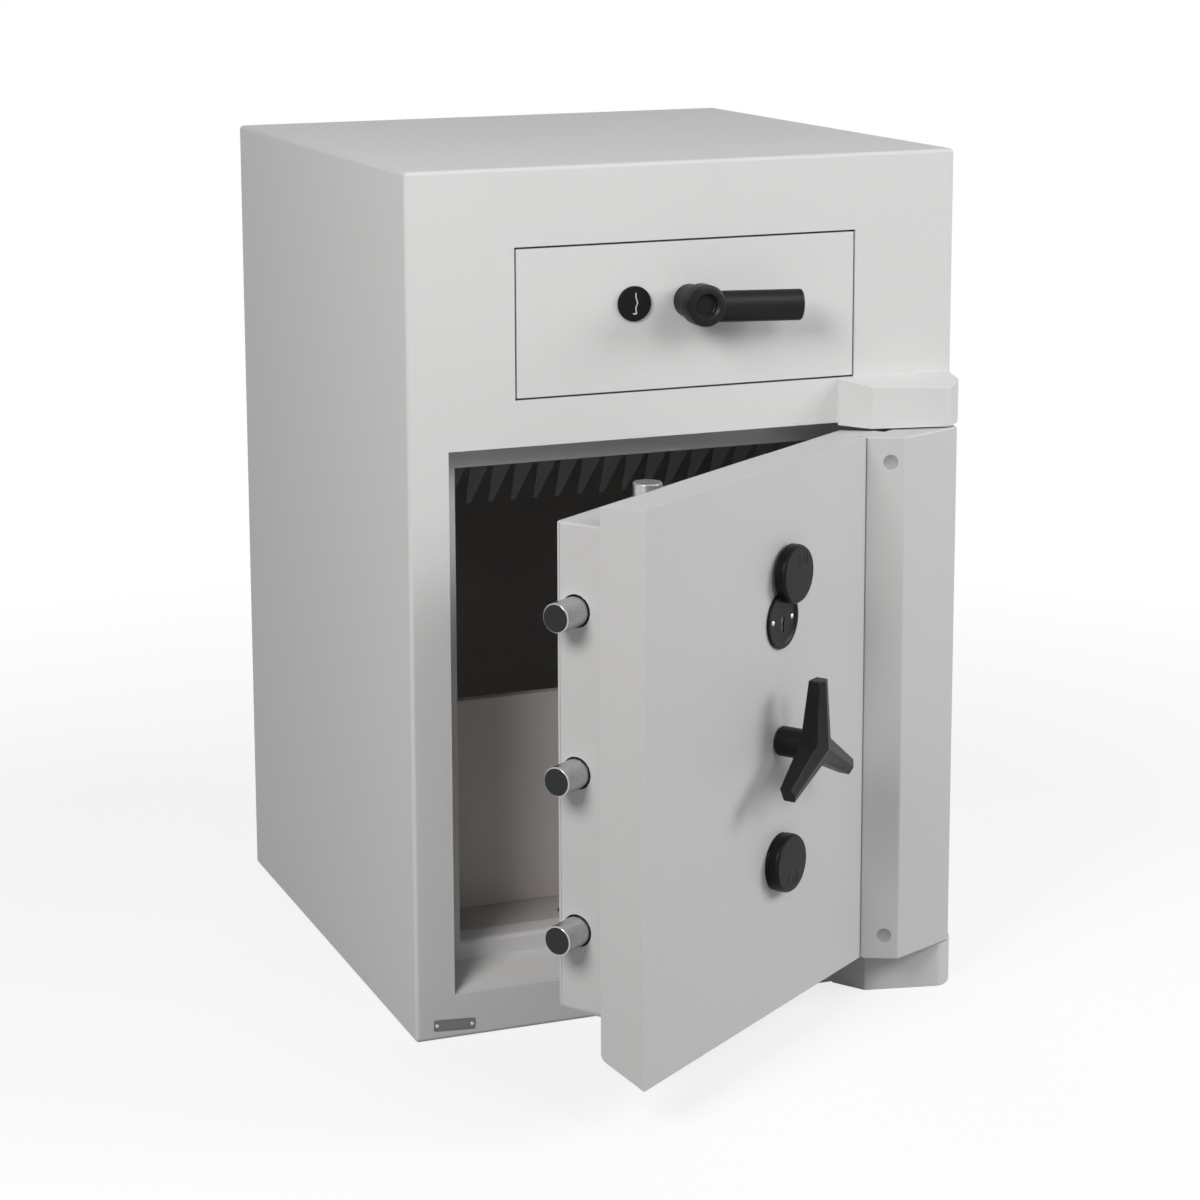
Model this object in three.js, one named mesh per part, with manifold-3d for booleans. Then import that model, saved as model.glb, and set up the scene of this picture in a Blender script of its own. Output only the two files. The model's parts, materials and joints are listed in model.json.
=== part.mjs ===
// A drop safe with a deposit drawer: a barrier-walled steel cabinet with a pull-out drawer above a
// hinged vault door. Millimetres, +Z up, the front facing -Y, the origin at the centre of the base.
// Cabinet coordinates run from the cabinet's left front bottom corner: x to the right, y to the back.
// Door coordinates are the same, with the door closed; a turned group then stands it ajar.

import * as THREE from "three";
import { mergeVertices } from "three/addons/utils/BufferGeometryUtils.js";
import Module from "manifold-3d";

const wasm = await Module();
wasm.setup();

// Clearances
const seat = 0.3; // between a piece and what it is fixed to or turns in
const running = 0.8; // round a bolt or a crank pin that slides
const panelGap = 2; // round the drawer front
const lap = 1; // how far a cut reaches past a face, and joined shapes into each other

// Cabinet
const cabinetWidth = 580;
const cabinetDepth = 590;
const cabinetHeight = 860;
const middle = cabinetWidth / 2;
const casingSheet = 4;
const wallThickness = 42; // outside face to the vault's inside face, at the sides and the back
const linerSheet = 2.5;
const vaultFloor = 80;
const drawerSpace = 260; // from the vault's ceiling to the top
const vaultCeiling = cabinetHeight - drawerSpace;

// Door opening and its rebated frame
const freePost = 41; // width of the front face beside the door's free edge
const hingePost = 86; // and beside its hinge edge
const openingLeft = freePost;
const openingRight = cabinetWidth - hingePost;
const openingBottom = 45;
const headDrop = 10; // the opening's head below the vault's ceiling
const openingTop = vaultCeiling - headDrop;
const shoulderDepth = 50; // from the front face back to the shoulder
const lipThickness = 28;
const lipSide = 23; // how far the lip reaches in past the opening
const lipTop = 26;
const sillRise = 16; // the sloping sill's climb from the front face to the shoulder
const frameBorder = 12; // solid frame outside the opening and the liner
const sillRound = 5;

// Door, closed
const ajar = 35; // degrees the door stands open
const hingeInset = 27;
const hingeX = cabinetWidth - hingeInset;
const hingeOut = 32; // hinge axis in front of the front face
const doorGap = 4; // round the slab
const slabLeft = openingLeft + doorGap;
const slabRight = openingRight - doorGap;
const sillGap = 4.5;
const slabBottom = openingBottom + sillGap;
const slabTop = openingTop - doorGap;
const slabThickness = 49;
const slabTaper = 3.5; // the free edge and the top edge lean in towards the back
const slabBevel = 19; // the bottom edge climbs towards the back
const stepWidth = 36.5; // the slab's hinge edge is stepped back for the pillar's root
const stepLeft = slabRight - stepWidth;
const stepDepth = 12;
const grooveWidth = 3;
const doorPocketSkin = 10; // steel in front of the door's infill
const doorPocketBorder = 14; // steel between the bolt box's outline and the infill

// Bolt box on the back of the door
const boxFreeInset = 36;
const boxHingeInset = 30;
const boxSillInset = 41.5;
const boxHeadInset = 29;
const boxDepth = 67;
const boxLeft = slabLeft + boxFreeInset;
const boxRight = slabRight - boxHingeInset;
const boxBottom = slabBottom + boxSillInset;
const boxTop = slabTop - boxHeadInset;
const boxBack = slabThickness + boxDepth;
const boxSheet = 2.5;
const boxCornerRadius = 3;
const postRadius = 7;
const postInset = 8.5;
const coverScrewHead = 5;
const coverScrewTop = 3.5; // radius of the head's flat
const coverScrewRise = 2;
const coverScrewShank = 2.5;
const coverScrewHole = 22;
const coverScrewLength = 20;

// Hinge pillar and blocks
const pillarDrop = 2.3; // below the slab's bottom edge
const pillarBottom = slabBottom - pillarDrop;
const pillarTop = slabTop - seat;
const noseReach = 78; // from the hinge axis to where the chamfer meets the long front face
const pillarNose = hingeX - noseReach;
const crestReach = 1;
const crestX = hingeX + crestReach; // where the front face stands out most
const crestOut = 49;
const endReach = 22;
const pillarEnd = hingeX + endReach;
const endOut = 27;
const sweepRadius = 31; // the pillar's back corner turns inside this
const footReach = 24;
const hingeBlockFoot = hingeX + footReach;
const blockGap = 3; // between the pillar and the blocks
const upperBlockBottom = slabTop + blockGap;
const upperBlockHeight = 46; // where it meets the cabinet
const upperBlockFall = 8.5; // its top slopes down to the front
const upperBlockTop = upperBlockBottom + upperBlockHeight;
const lowerBlockRise = 1; // above the opening's bottom edge
const lowerBlockTop = openingBottom + lowerBlockRise;
const hingePinRadius = 8;
const hingePinInPillar = 26;
const hingePinInBlock = 30;
const plugRadius = 7;
const plugDepth = 8;
const plugSink = 0.6; // its face lies a little below the chamfer
const plugAcross = 0.62; // share of the chamfer's width, from the slab to the nose
const plugFromEnd = 25;

// Tri-spoke handle, its spindle and the drive disc
const fittingOffset = 2; // the door's fittings stand on one line, a little left of the middle
const fittingX = middle - fittingOffset;
const handleRise = 0.75; // above the middle of the slab
const handleZ = (slabBottom + slabTop) / 2 + handleRise;
const spokeReach = 66;
const spokeRootWidth = 26;
const spokeTaper = 0.6; // a spoke's size at its tip, as a share of its root's
const spokePlane = 43.5; // in front of the door's face
const spokeBack = 15.5; // behind the spokes' plane
const spokeEave = 4.5; // and in front of it, at the spoke's edges and at its ridge
const spokeRidge = 9;
const bossRadius = 14.5;
const bossGap = 1; // between the boss and the door
const bossSocket = 6; // from the spokes' plane back to the end of the spindle's hole
const spindleRadius = 8;
const bushWall = 3;
const discRadius = 33;
const discSpace = 11.5; // from the slab's back to the disc
const discFront = slabThickness + discSpace;
const discThickness = 6;
const discSocket = 9; // the sleeve that takes the spindle's end
const crankPinRadius = 3;
const crankPinEnd = 1; // how far a crank pin stands past what it drives
const sideTravel = 33;
const endTravel = 15;

// Bolts
const boltRadius = 14;
const boltBevel = 1.5;
const boltFromCover = 20;
const boltY = boxBack - boltFromCover;
const sideBoltSetback = 3; // behind the slab's free edge when drawn closed
const sideBoltTip = slabLeft + sideBoltSetback;
const upperBoltDrop = 110.4;
const middleBoltRise = 4.5;
const lowerBoltRise = 122.5;
const sideBoltHeights = [
  slabTop - upperBoltDrop,
  handleZ + middleBoltRise,
  slabBottom + lowerBoltRise,
];
const endBoltOffset = 85;
const endBoltX = fittingX - endBoltOffset;
const topBoltSetback = 12;
const topBoltTip = slabTop - topBoltSetback;
const bottomBoltSetback = 16.5;
const bottomBoltTip = slabBottom + bottomBoltSetback;
const endBoltLength = 54;
const boltPocketDepth = 6; // below the thrown bottom bolt
const linkSheet = 4;
const linkFront = 70; // front face of the top and bottom links
const carriageFront = 77; // front face of the side bolt carriage
const linkBarWidth = 11;
const linkOverlap = 2; // where a link's arm passes the fittings' line
const endLinkWidth = 24;
const carriageInset = 31;
const carriageLeft = boxLeft + carriageInset;
const carriageWidth = 25;
const carriageArmEnd = 4; // metal round the slot in the carriage's arm
const slotEase = 0.3;
const bracketHeight = 24;
const bracketSetback = 2;
const endBracket = 12;
const linkDetour = 34; // how far the links step round the crank pins

// Key locks and their covers
const upperLockRise = 118.5;
const lowerLockDrop = 120;
const upperLockZ = handleZ + upperLockRise;
const lowerLockZ = handleZ - lowerLockDrop;
const escutcheonRadius = 28;
const escutcheonThickness = 3;
const keyCoverRadius = 28.5;
const keyCoverThickness = 11;
const keyCoverBevel = 2.2;
const keyCoverPivot = 22.8; // pivot above the centre of the closed cover
const keyCoverOpen = 157; // degrees the upper cover is swung
const keyCoverPinRadius = 3;
const keyCoverPinDepth = 6;
const thumbRadius = 8;
const thumbDrop = 14;
const thumbDepth = 0.8;
const lockScrewSpread = 17.8;
const lockScrewHead = 3.4;
const lockScrewHeadDepth = 1.4;
const lockScrewShank = 2;
const lockScrewLength = 12;
const lockCaseWidth = 64;
const lockCaseHeight = 90;
const lockCaseThickness = 17.5;
const lockCaseBack = 4; // metal behind the lock's keyhole
const keyholeRadius = 3.6;
const keyholeSlotWidth = 4.4;
const keyholeSlotLength = 13;

// Drawer and its housing
const sideWall = 111.5; // front face beside the drawer
const drawerWidth = cabinetWidth - 2 * sideWall;
const drawerHeight = 144;
const drawerRise = 37.5; // above the vault's ceiling
const drawerBottom = vaultCeiling + drawerRise;
const drawerTop = drawerBottom + drawerHeight;
const drawerFrontThickness = 12;
const housingSide = 9.5; // the housing's space beside, below and above the drawer front
const housingUnder = 11.5;
const housingOver = 10.5;
const housingHalfWidth = drawerWidth / 2 + housingSide;
const housingSheet = 2;
const housingFloor = drawerBottom - housingUnder;
const housingCeiling = drawerTop + housingOver;
const housingFromBack = 70;
const housingBack = cabinetDepth - housingFromBack;
const slotFront = 120;
const slotSetback = 12;
const slotBack = housingBack - slotSetback;
const slotSide = 15;
const slotHalfWidth = housingHalfWidth - slotSide;
const chuteSheet = 2;
const runnerDepth = 8.5;
const runnerHeight = 26;
const runnerRise = 14.5;
const runnerBottom = drawerBottom + runnerRise;
const runnerSheet = 2;
const runnerLength = 348;
const slideBlockLength = 36;
const slideBlockLap = 0.5;
const carriageSheet = 2;
const armRise = 4.5;
const armBottom = drawerBottom + armRise;
const armHeight = 60;
const armFlange = 24;
const shieldRise = 54.5;
const shieldBottom = drawerBottom + shieldRise;
const shieldHeight = 84;
const shieldTop = shieldBottom + shieldHeight;

// Tipping tray
const trayTilt = 22; // degrees, with the drawer shut
const trayPivotY = 66;
const trayPivotRise = 48.5;
const trayPivotZ = drawerBottom + trayPivotRise;
const trayLip = 8; // from the pivot to the tray's front and to its underside
const trayLength = 292;
const traySide = 9.5;
const trayWidth = drawerWidth - 2 * traySide;
const trayDepth = 82;
const traySheet = 2;
const trayPinRadius = 5;
const trayCollarRadius = 8;
const shieldGap = 2; // between the tray's arc and the rear shield

// Drawer lever and lock
const leverRise = 85.5;
const leverZ = drawerBottom + leverRise;
const leverX = middle;
const leverHubRadius = 20.5;
const leverRootRadius = 16.5;
const leverRootGap = 1; // between the lever's root and the drawer front
const leverHubFront = 48;
const leverHubStart = 22; // where the hub starts to widen
const leverHubFull = 28; // where it reaches its full radius
const leverHubBevel = 2;
const leverSocketRadius = 10.5;
const leverSocketDepth = 7;
const leverReach = 105;
const leverBarHeight = 31;
const leverBarDepth = 20;
const leverBarSetback = 3; // behind the hub's face
const leverBarRound = 6;
const leverBarDrop = 2; // the bar's middle below the hub's
const leverDroop = 1.9; // degrees the bar hangs below level
const leverSpindleRadius = 8;
const leverSpindleBack = 26;
const camGap = 0.8; // between the cams and the back of the drawer front
const camThickness = 6;
const camWidth = 22;
const camEyeWall = 7;
const latchCamReach = 94;
const lockOffset = 57.5;
const lockX = leverX - lockOffset;
const lockFaceRadius = 17.8;
const lockFaceThickness = 2.7;
const lockBodyRadius = 13;
const lockPlugRadius = 9;
const lockPlugLap = 0.5;
const lockCamReach = 66;
const lockCamWidth = 20;
const keywayWidth = 2.4;
const keywayHeight = 21;
const keywayDepth = 2;

// Inside the vault
const panelY = 140;
const panelTop = 302;
const panelSheet = 3;
const panelFold = 12;
const combTop = 118; // where the comb leaves the ceiling
const combTipY = 200;
const combDrop = 103;
const combTipZ = vaultCeiling - combDrop;
const combSheet = 2;
const combFlange = 20;
const toothCount = 20;
const toothLength = 61;
const toothTip = 5;
const toothGap = 4; // between two teeth at their roots
const combMargin = 1;

// Serial plate
const plateX = 18.5;
const plateZ = 9;
const plateWidth = 43;
const plateHeight = 11;
const plateThickness = 0.8;
const rivetInset = 3.2;
const rivetRadius = 1.3;
const rivetHeadRadius = 1.9;
const rivetProud = 0.6;

// Materials
const paint = (color, roughness = 0.55) =>
  new THREE.MeshStandardMaterial({ color, roughness, metalness: 0.1 });
const metal = (color, roughness) =>
  new THREE.MeshStandardMaterial({ color, roughness, metalness: 1 });
const lightGrey = () => paint(0xd4d4d3);
const doorGrey = () => paint(0xcfcfce);
const insideGrey = () => paint(0xb4b4b2, 0.65);
const black = () => paint(0x242425, 0.35);
const concrete = () => paint(0x8f8b84, 0.95);
const chrome = () => metal(0xc9ccd0, 0.12);
const steel = () => metal(0x9a9c9f, 0.35);
const zinc = () => metal(0xb4b6b0, 0.45);

// A closed geometry as a solid that can be cut and joined.
function solid(geometry) {
  const bare = geometry.clone();
  bare.deleteAttribute("normal");
  bare.deleteAttribute("uv");
  const merged = mergeVertices(bare, 1e-4);
  return new wasm.Manifold(
    new wasm.Mesh({
      numProp: 3,
      vertProperties: merged.attributes.position.array,
      triVerts: new Uint32Array(merged.index.array),
    }),
  );
}

function geometryOf(made) {
  const { vertProperties, triVerts } = made.getMesh();
  const geometry = new THREE.BufferGeometry();
  geometry.setAttribute("position", new THREE.BufferAttribute(vertProperties, 3));
  geometry.setIndex(new THREE.BufferAttribute(triVerts, 1));
  geometry.computeVertexNormals();
  return geometry;
}

const join = (...parts) => geometryOf(parts.map(solid).reduce((a, b) => a.add(b)));
const cut = (body, ...holes) =>
  geometryOf(holes.map(solid).reduce((a, b) => a.subtract(b), solid(body)));

// Small round pieces have fewer sides.
const sides = (radius) => (radius < 8 ? 12 : 24);

// A box between two corners.
function box(x0, x1, y0, y1, z0, z1) {
  const geometry = new THREE.BoxGeometry(x1 - x0, y1 - y0, z1 - z0);
  return geometry.translate((x0 + x1) / 2, (y0 + y1) / 2, (z0 + z1) / 2);
}

// Round bars along each axis, from one end to the other, with an optional second radius.
function rodX(y, z, x0, x1, r, r1 = r) {
  const geometry = new THREE.CylinderGeometry(r1, r, x1 - x0, sides(r));
  return geometry.rotateZ(-Math.PI / 2).translate((x0 + x1) / 2, y, z);
}
function rodY(x, z, y0, y1, r, r1 = r) {
  const geometry = new THREE.CylinderGeometry(r1, r, y1 - y0, sides(r));
  return geometry.translate(x, (y0 + y1) / 2, z);
}
function rodZ(x, y, z0, z1, r, r1 = r) {
  const geometry = new THREE.CylinderGeometry(r1, r, z1 - z0, sides(r));
  return geometry.rotateX(Math.PI / 2).translate(x, y, (z0 + z1) / 2);
}

const outline = (points) => new THREE.Shape(points.map(([a, b]) => new THREE.Vector2(a, b)));
const extrude = (shape, depth) =>
  new THREE.ExtrudeGeometry(shape, { depth, bevelEnabled: false, curveSegments: 5 });

// An outline in the x-y plane raised from z0 to z1, in the x-z plane from y0 to y1,
// and in the y-z plane from x0 to x1.
const raise = (shape, z0, z1) => extrude(shape, z1 - z0).translate(0, 0, z0);
const spanY = (shape, y0, y1) =>
  extrude(shape, y1 - y0)
    .rotateX(Math.PI / 2)
    .translate(0, y1, 0);
function spanX(shape, x0, x1) {
  const turn = new THREE.Matrix4().makeBasis(
    new THREE.Vector3(0, 1, 0),
    new THREE.Vector3(0, 0, 1),
    new THREE.Vector3(1, 0, 0),
  );
  return extrude(shape, x1 - x0)
    .applyMatrix4(turn)
    .translate(x0, 0, 0);
}

function roundedOutline(x0, x1, z0, z1, r) {
  const shape = new THREE.Shape();
  shape.moveTo(x0 + r, z0);
  shape.lineTo(x1 - r, z0);
  shape.absarc(x1 - r, z0 + r, r, -Math.PI / 2, 0);
  shape.lineTo(x1, z1 - r);
  shape.absarc(x1 - r, z1 - r, r, 0, Math.PI / 2);
  shape.lineTo(x0 + r, z1);
  shape.absarc(x0 + r, z1 - r, r, Math.PI / 2, Math.PI);
  shape.lineTo(x0, z0 + r);
  shape.absarc(x0 + r, z0 + r, r, Math.PI, 1.5 * Math.PI);
  return shape;
}

// Named pieces are added to the group that carries them.
function add(group, name, geometry, material) {
  const mesh = new THREE.Mesh(geometry, material);
  mesh.name = name;
  group.add(mesh);
  return mesh;
}

// A group that turns or slides about a point given in its parent's coordinates, and whose pieces
// are still written in those coordinates.
function carrier(parent, x, y, z) {
  const pivot = new THREE.Group();
  pivot.position.set(x, y, z);
  const inner = new THREE.Group();
  inner.position.set(-x, -y, -z);
  pivot.add(inner);
  parent.add(pivot);
  return { pivot, inner };
}

const radians = THREE.MathUtils.degToRad;
const vaultLeft = wallThickness;
const vaultRight = cabinetWidth - wallThickness;
const vaultBack = cabinetDepth - wallThickness;
const frameBack = shoulderDepth + lipThickness;
const hingeY = -hingeOut;
const drawerLeft = middle - drawerWidth / 2;
const drawerRight = middle + drawerWidth / 2;
const housingLeft = middle - housingHalfWidth;
const housingRight = middle + housingHalfWidth;
const chuteTop = housingFloor - housingSheet;
const collarBack = drawerFrontThickness;

const safe = new THREE.Group();
const cabinet = new THREE.Group();
cabinet.position.set(-cabinetWidth / 2, -cabinetDepth / 2, 0);
safe.add(cabinet);

// The drawer opening through a wall between two depths.
const drawerOpening = (y0, y1) =>
  box(
    drawerLeft - panelGap,
    drawerRight + panelGap,
    y0,
    y1,
    drawerBottom - panelGap,
    drawerTop + panelGap,
  );

// Outer casing: one welded shell with the two openings in its flush front face.
function outerCasing() {
  const t = casingSheet;
  const shell = box(0, cabinetWidth, 0, cabinetDepth, 0, cabinetHeight);
  const hollow = box(t, cabinetWidth - t, t, cabinetDepth - t, t, cabinetHeight - t);
  const doorway = box(openingLeft, openingRight, -lap, t + lap, openingBottom, openingTop);
  return cut(shell, hollow, doorway, drawerOpening(-lap, t + lap));
}

// The envelopes that the barrier infill is cast round. Each takes a reach by which it passes the face
// that it opens.
const frameEnvelope = (reach = 0) =>
  box(
    openingLeft - frameBorder,
    vaultRight + linerSheet + frameBorder,
    casingSheet - reach,
    frameBack,
    openingBottom - frameBorder,
    vaultCeiling + linerSheet + frameBorder,
  );
const linerEnvelope = (reach = 0) =>
  box(
    vaultLeft - linerSheet,
    vaultRight + linerSheet,
    frameBack - reach,
    vaultBack + linerSheet,
    vaultFloor - linerSheet,
    vaultCeiling + linerSheet,
  );
const housingEnvelope = (reach = 0) =>
  box(
    housingLeft - housingSheet,
    housingRight + housingSheet,
    casingSheet - reach,
    housingBack + housingSheet,
    chuteTop,
    housingCeiling + housingSheet,
  );
const chuteEnvelope = (reach = 0) =>
  box(
    middle - slotHalfWidth - chuteSheet,
    middle + slotHalfWidth + chuteSheet,
    slotFront - chuteSheet,
    slotBack + chuteSheet,
    vaultCeiling - reach,
    chuteTop + reach,
  );
const chuteBore = (z0, z1) =>
  box(middle - slotHalfWidth, middle + slotHalfWidth, slotFront, slotBack, z0, z1);
// The bottom bolt drops through the liner's floor into the infill.
const boltPocket = () =>
  rodZ(endBoltX, boltY, bottomBoltTip - boltPocketDepth, vaultFloor + lap, boltRadius + 2 * running);

function barrierInfill() {
  const t = casingSheet;
  const block = box(t, cabinetWidth - t, t, cabinetDepth - t, t, cabinetHeight - t);
  return cut(
    block,
    frameEnvelope(lap),
    linerEnvelope(lap),
    housingEnvelope(lap),
    chuteEnvelope(lap),
    boltPocket(),
  );
}

function vaultLiner() {
  const inside = box(vaultLeft, vaultRight, frameBack - lap, vaultBack, vaultFloor, vaultCeiling);
  return cut(linerEnvelope(), inside, chuteEnvelope(lap), boltPocket());
}

// Door frame: jambs, head and sloping sill in front, and the lip that the bolts throw behind.
function doorFrame() {
  const sillFront = openingBottom + (sillRise * casingSheet) / shoulderDepth;
  const sillBack = openingBottom + sillRise;
  const reveal = spanX(
    outline([
      [casingSheet - lap, sillFront],
      [shoulderDepth, sillBack],
      [shoulderDepth, openingTop],
      [casingSheet - lap, openingTop],
    ]),
    openingLeft,
    openingRight,
  );
  const mouth = new THREE.Shape();
  mouth.moveTo(shoulderDepth - lap, vaultFloor + sillRound);
  mouth.lineTo(shoulderDepth, vaultFloor - sillRound);
  const roundY = shoulderDepth + sillRound;
  mouth.absarc(roundY, vaultFloor - sillRound, sillRound, Math.PI, Math.PI / 2, true);
  mouth.lineTo(frameBack + lap, vaultFloor);
  mouth.lineTo(frameBack + lap, openingTop - lipTop);
  mouth.lineTo(shoulderDepth - lap, openingTop - lipTop);
  const throat = spanX(mouth, openingLeft + lipSide, openingRight - lipSide);
  return cut(frameEnvelope(), reveal, throat);
}

function drawerHousing() {
  const chamber = box(
    housingLeft,
    housingRight,
    collarBack,
    housingBack,
    housingFloor,
    housingCeiling,
  );
  return cut(
    housingEnvelope(),
    chamber,
    drawerOpening(casingSheet - lap, collarBack + lap),
    chuteBore(chuteTop - lap, housingFloor + lap),
  );
}

const dropChute = () => cut(chuteEnvelope(), chuteBore(vaultCeiling - lap, chuteTop + lap));

// A runner is a channel on the housing's side wall, open towards the drawer; side is -1 or 1.
function runner(side) {
  const wall = middle + side * housingHalfWidth;
  const mouth = wall - side * runnerDepth;
  const web = wall - side * runnerSheet;
  const [x0, x1] = [Math.min(wall, mouth), Math.max(wall, mouth)];
  const [h0, h1] = side < 0 ? [web, mouth + lap] : [mouth - lap, web];
  const top = runnerBottom + runnerHeight;
  const runnerEnd = collarBack + runnerLength;
  return cut(
    box(x0, x1, collarBack, runnerEnd, runnerBottom, top),
    box(h0, h1, collarBack - lap, runnerEnd + lap, runnerBottom + runnerSheet, top - runnerSheet),
  );
}

// Anti-fishing comb: a flange under the ceiling and a sheet of teeth that slopes down and back.
function antiFishingComb() {
  const left = vaultLeft + combMargin;
  const width = vaultRight - vaultLeft - 2 * combMargin;
  const drop = vaultCeiling - combTipZ;
  const back = combTipY - combTop;
  const length = Math.hypot(drop, back);
  const pitch = width / toothCount;
  const root = length - toothLength;
  const profile = new THREE.Shape();
  profile.moveTo(0, 0);
  profile.lineTo(0, -root);
  for (let i = 0; i < toothCount; i++) {
    const centre = (i + 0.5) * pitch;
    profile.lineTo(centre - (pitch - toothGap) / 2, -root);
    profile.lineTo(centre - toothTip / 2, -length);
    profile.lineTo(centre + toothTip / 2, -length);
    profile.lineTo(centre + (pitch - toothGap) / 2, -root);
  }
  profile.lineTo(width, -root);
  profile.lineTo(width, 0);
  const lean = Math.atan2(back, drop);
  const sheet = extrude(profile, combSheet);
  sheet.rotateX(Math.PI / 2 + lean);
  sheet.translate(left, combTop, vaultCeiling - combSheet * Math.sin(lean));
  const flange = box(
    left,
    left + width,
    combTop - combFlange,
    combTop,
    vaultCeiling - combSheet,
    vaultCeiling,
  );
  return join(flange, sheet);
}

// Retaining panel: a sheet across the vault with its top edge folded back.
function retainingPanel() {
  const profile = outline([
    [panelY, vaultFloor],
    [panelY + panelSheet, vaultFloor],
    [panelY + panelSheet, panelTop - panelSheet],
    [panelY + panelFold, panelTop - panelSheet],
    [panelY + panelFold, panelTop],
    [panelY, panelTop],
  ]);
  return spanX(profile, vaultLeft, vaultRight);
}

// The plan of the hinge pillar in front of the door, and of the blocks in line with it.
const crest = [
  [pillarNose, -hingeOut],
  [crestX, -crestOut],
  [pillarEnd, -endOut],
];
const blockPlan = () => outline([[stepLeft, 0], ...crest, [hingeBlockFoot, 0]]);
const pinHole = (z0, z1) => rodZ(hingeX, hingeY, z0, z1, hingePinRadius + seat);

function hingeBlockUpper() {
  const aboveTop = spanX(
    outline([
      [-crestOut - lap, upperBlockTop - upperBlockFall],
      [-crestOut, upperBlockTop - upperBlockFall],
      [0, upperBlockTop],
      [lap, upperBlockTop],
      [lap, upperBlockTop + lap],
      [-crestOut - lap, upperBlockTop + lap],
    ]),
    stepLeft - lap,
    hingeBlockFoot + lap,
  );
  return cut(
    raise(blockPlan(), upperBlockBottom, upperBlockTop),
    aboveTop,
    pinHole(upperBlockBottom - lap, upperBlockBottom + hingePinInBlock + seat),
  );
}
function hingeBlockLower() {
  return cut(
    raise(blockPlan(), 0, lowerBlockTop),
    pinHole(lowerBlockTop - hingePinInBlock - seat, lowerBlockTop + lap),
  );
}
const hingePinUpper = () =>
  rodZ(
    hingeX,
    hingeY,
    pillarTop - hingePinInPillar,
    upperBlockBottom + hingePinInBlock,
    hingePinRadius,
  );
const hingePinLower = () =>
  rodZ(
    hingeX,
    hingeY,
    lowerBlockTop - hingePinInBlock,
    pillarBottom + hingePinInPillar,
    hingePinRadius,
  );

const rivetPlaces = [plateX + rivetInset, plateX + plateWidth - rivetInset];
const rivetZ = plateZ + plateHeight / 2;
const serialPlate = () =>
  cut(
    box(plateX, plateX + plateWidth, -plateThickness, 0, plateZ, plateZ + plateHeight),
    ...rivetPlaces.map((x) => rodY(x, rivetZ, -plateThickness - lap, lap, rivetRadius + seat)),
  );
// Each rivet's head lies on the plate, and its shank reaches to the cabinet's face.
const rivet = (x) =>
  join(
    rodY(x, rivetZ, -plateThickness - rivetProud, -plateThickness, rivetHeadRadius),
    rodY(x, rivetZ, -plateThickness, 0, rivetRadius),
  );

function buildCabinet() {
  add(cabinet, "outer_casing", outerCasing(), lightGrey());
  add(cabinet, "barrier_infill", barrierInfill(), concrete());
  add(cabinet, "vault_liner", vaultLiner(), insideGrey());
  add(cabinet, "door_frame", doorFrame(), lightGrey());
  add(cabinet, "drawer_housing", drawerHousing(), zinc());
  add(cabinet, "drawer_runner_left", runner(-1), zinc());
  add(cabinet, "drawer_runner_right", runner(1), zinc());
  add(cabinet, "drop_chute", dropChute(), zinc());
  add(cabinet, "anti_fishing_comb", antiFishingComb(), insideGrey());
  add(cabinet, "retaining_panel", retainingPanel(), lightGrey());
  add(cabinet, "hinge_block_upper", hingeBlockUpper(), lightGrey());
  add(cabinet, "hinge_block_lower", hingeBlockLower(), lightGrey());
  add(cabinet, "hinge_pin_upper", hingePinUpper(), steel());
  add(cabinet, "hinge_pin_lower", hingePinLower(), steel());
  add(cabinet, "serial_plate", serialPlate(), metal(0xb9bbbd, 0.35));
  add(cabinet, "serial_plate_rivet_left", rivet(rivetPlaces[0]), steel());
  add(cabinet, "serial_plate_rivet_right", rivet(rivetPlaces[1]), steel());
}

// Door
const slabBackFace = slabThickness;
const boxFront = slabBackFace + seat;
const coverFront = boxBack - boxSheet;
const lockHeights = [upperLockZ, lowerLockZ];
const screwPlaces = [fittingX - lockScrewSpread, fittingX + lockScrewSpread];
const bushRadius = spindleRadius + seat + bushWall;

// A keyhole: a round hole over a slot, between two depths.
function keyhole(z, y0, y1) {
  const slot = box(
    fittingX - keyholeSlotWidth / 2,
    fittingX + keyholeSlotWidth / 2,
    y0,
    y1,
    z - keyholeSlotLength,
    z,
  );
  return join(rodY(fittingX, z, y0, y1, keyholeRadius), slot);
}

const doorPocket = (inset) =>
  box(
    boxLeft + doorPocketBorder + inset,
    boxRight - doorPocketBorder - inset,
    doorPocketSkin + inset,
    inset ? slabBackFace - inset : slabBackFace + lap,
    boxBottom + doorPocketBorder + inset,
    boxTop - doorPocketBorder - inset,
  );

// The plug holes are drilled square to the pillar's chamfer.
const chamferAngle = Math.atan2(hingeOut, pillarNose - (stepLeft + grooveWidth));
function plug(z, radius, proud, depth) {
  const root = stepLeft + grooveWidth;
  const x = root + (pillarNose - root) * plugAcross;
  const geometry = new THREE.CylinderGeometry(radius, radius, proud + depth, sides(radius));
  geometry.translate(0, (depth - proud) / 2, 0);
  geometry.rotateZ(chamferAngle - Math.PI);
  return geometry.rotateZ(Math.PI / 2).translate(x, -hingeOut * plugAcross, z);
}
const plugHeights = [pillarTop - plugFromEnd, pillarBottom + plugFromEnd];

// The wedge taken off the bottom edges of the slab and of the pillar's root, over the sloping sill.
const bottomBevel = () =>
  spanX(
    outline([
      [-lap, openingBottom],
      [-lap, slabBottom - lap],
      [0, slabBottom],
      [slabBackFace + lap, slabBottom + slabBevel],
      [slabBackFace + lap, openingBottom],
    ]),
    slabLeft - lap,
    slabRight + lap,
  );

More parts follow.
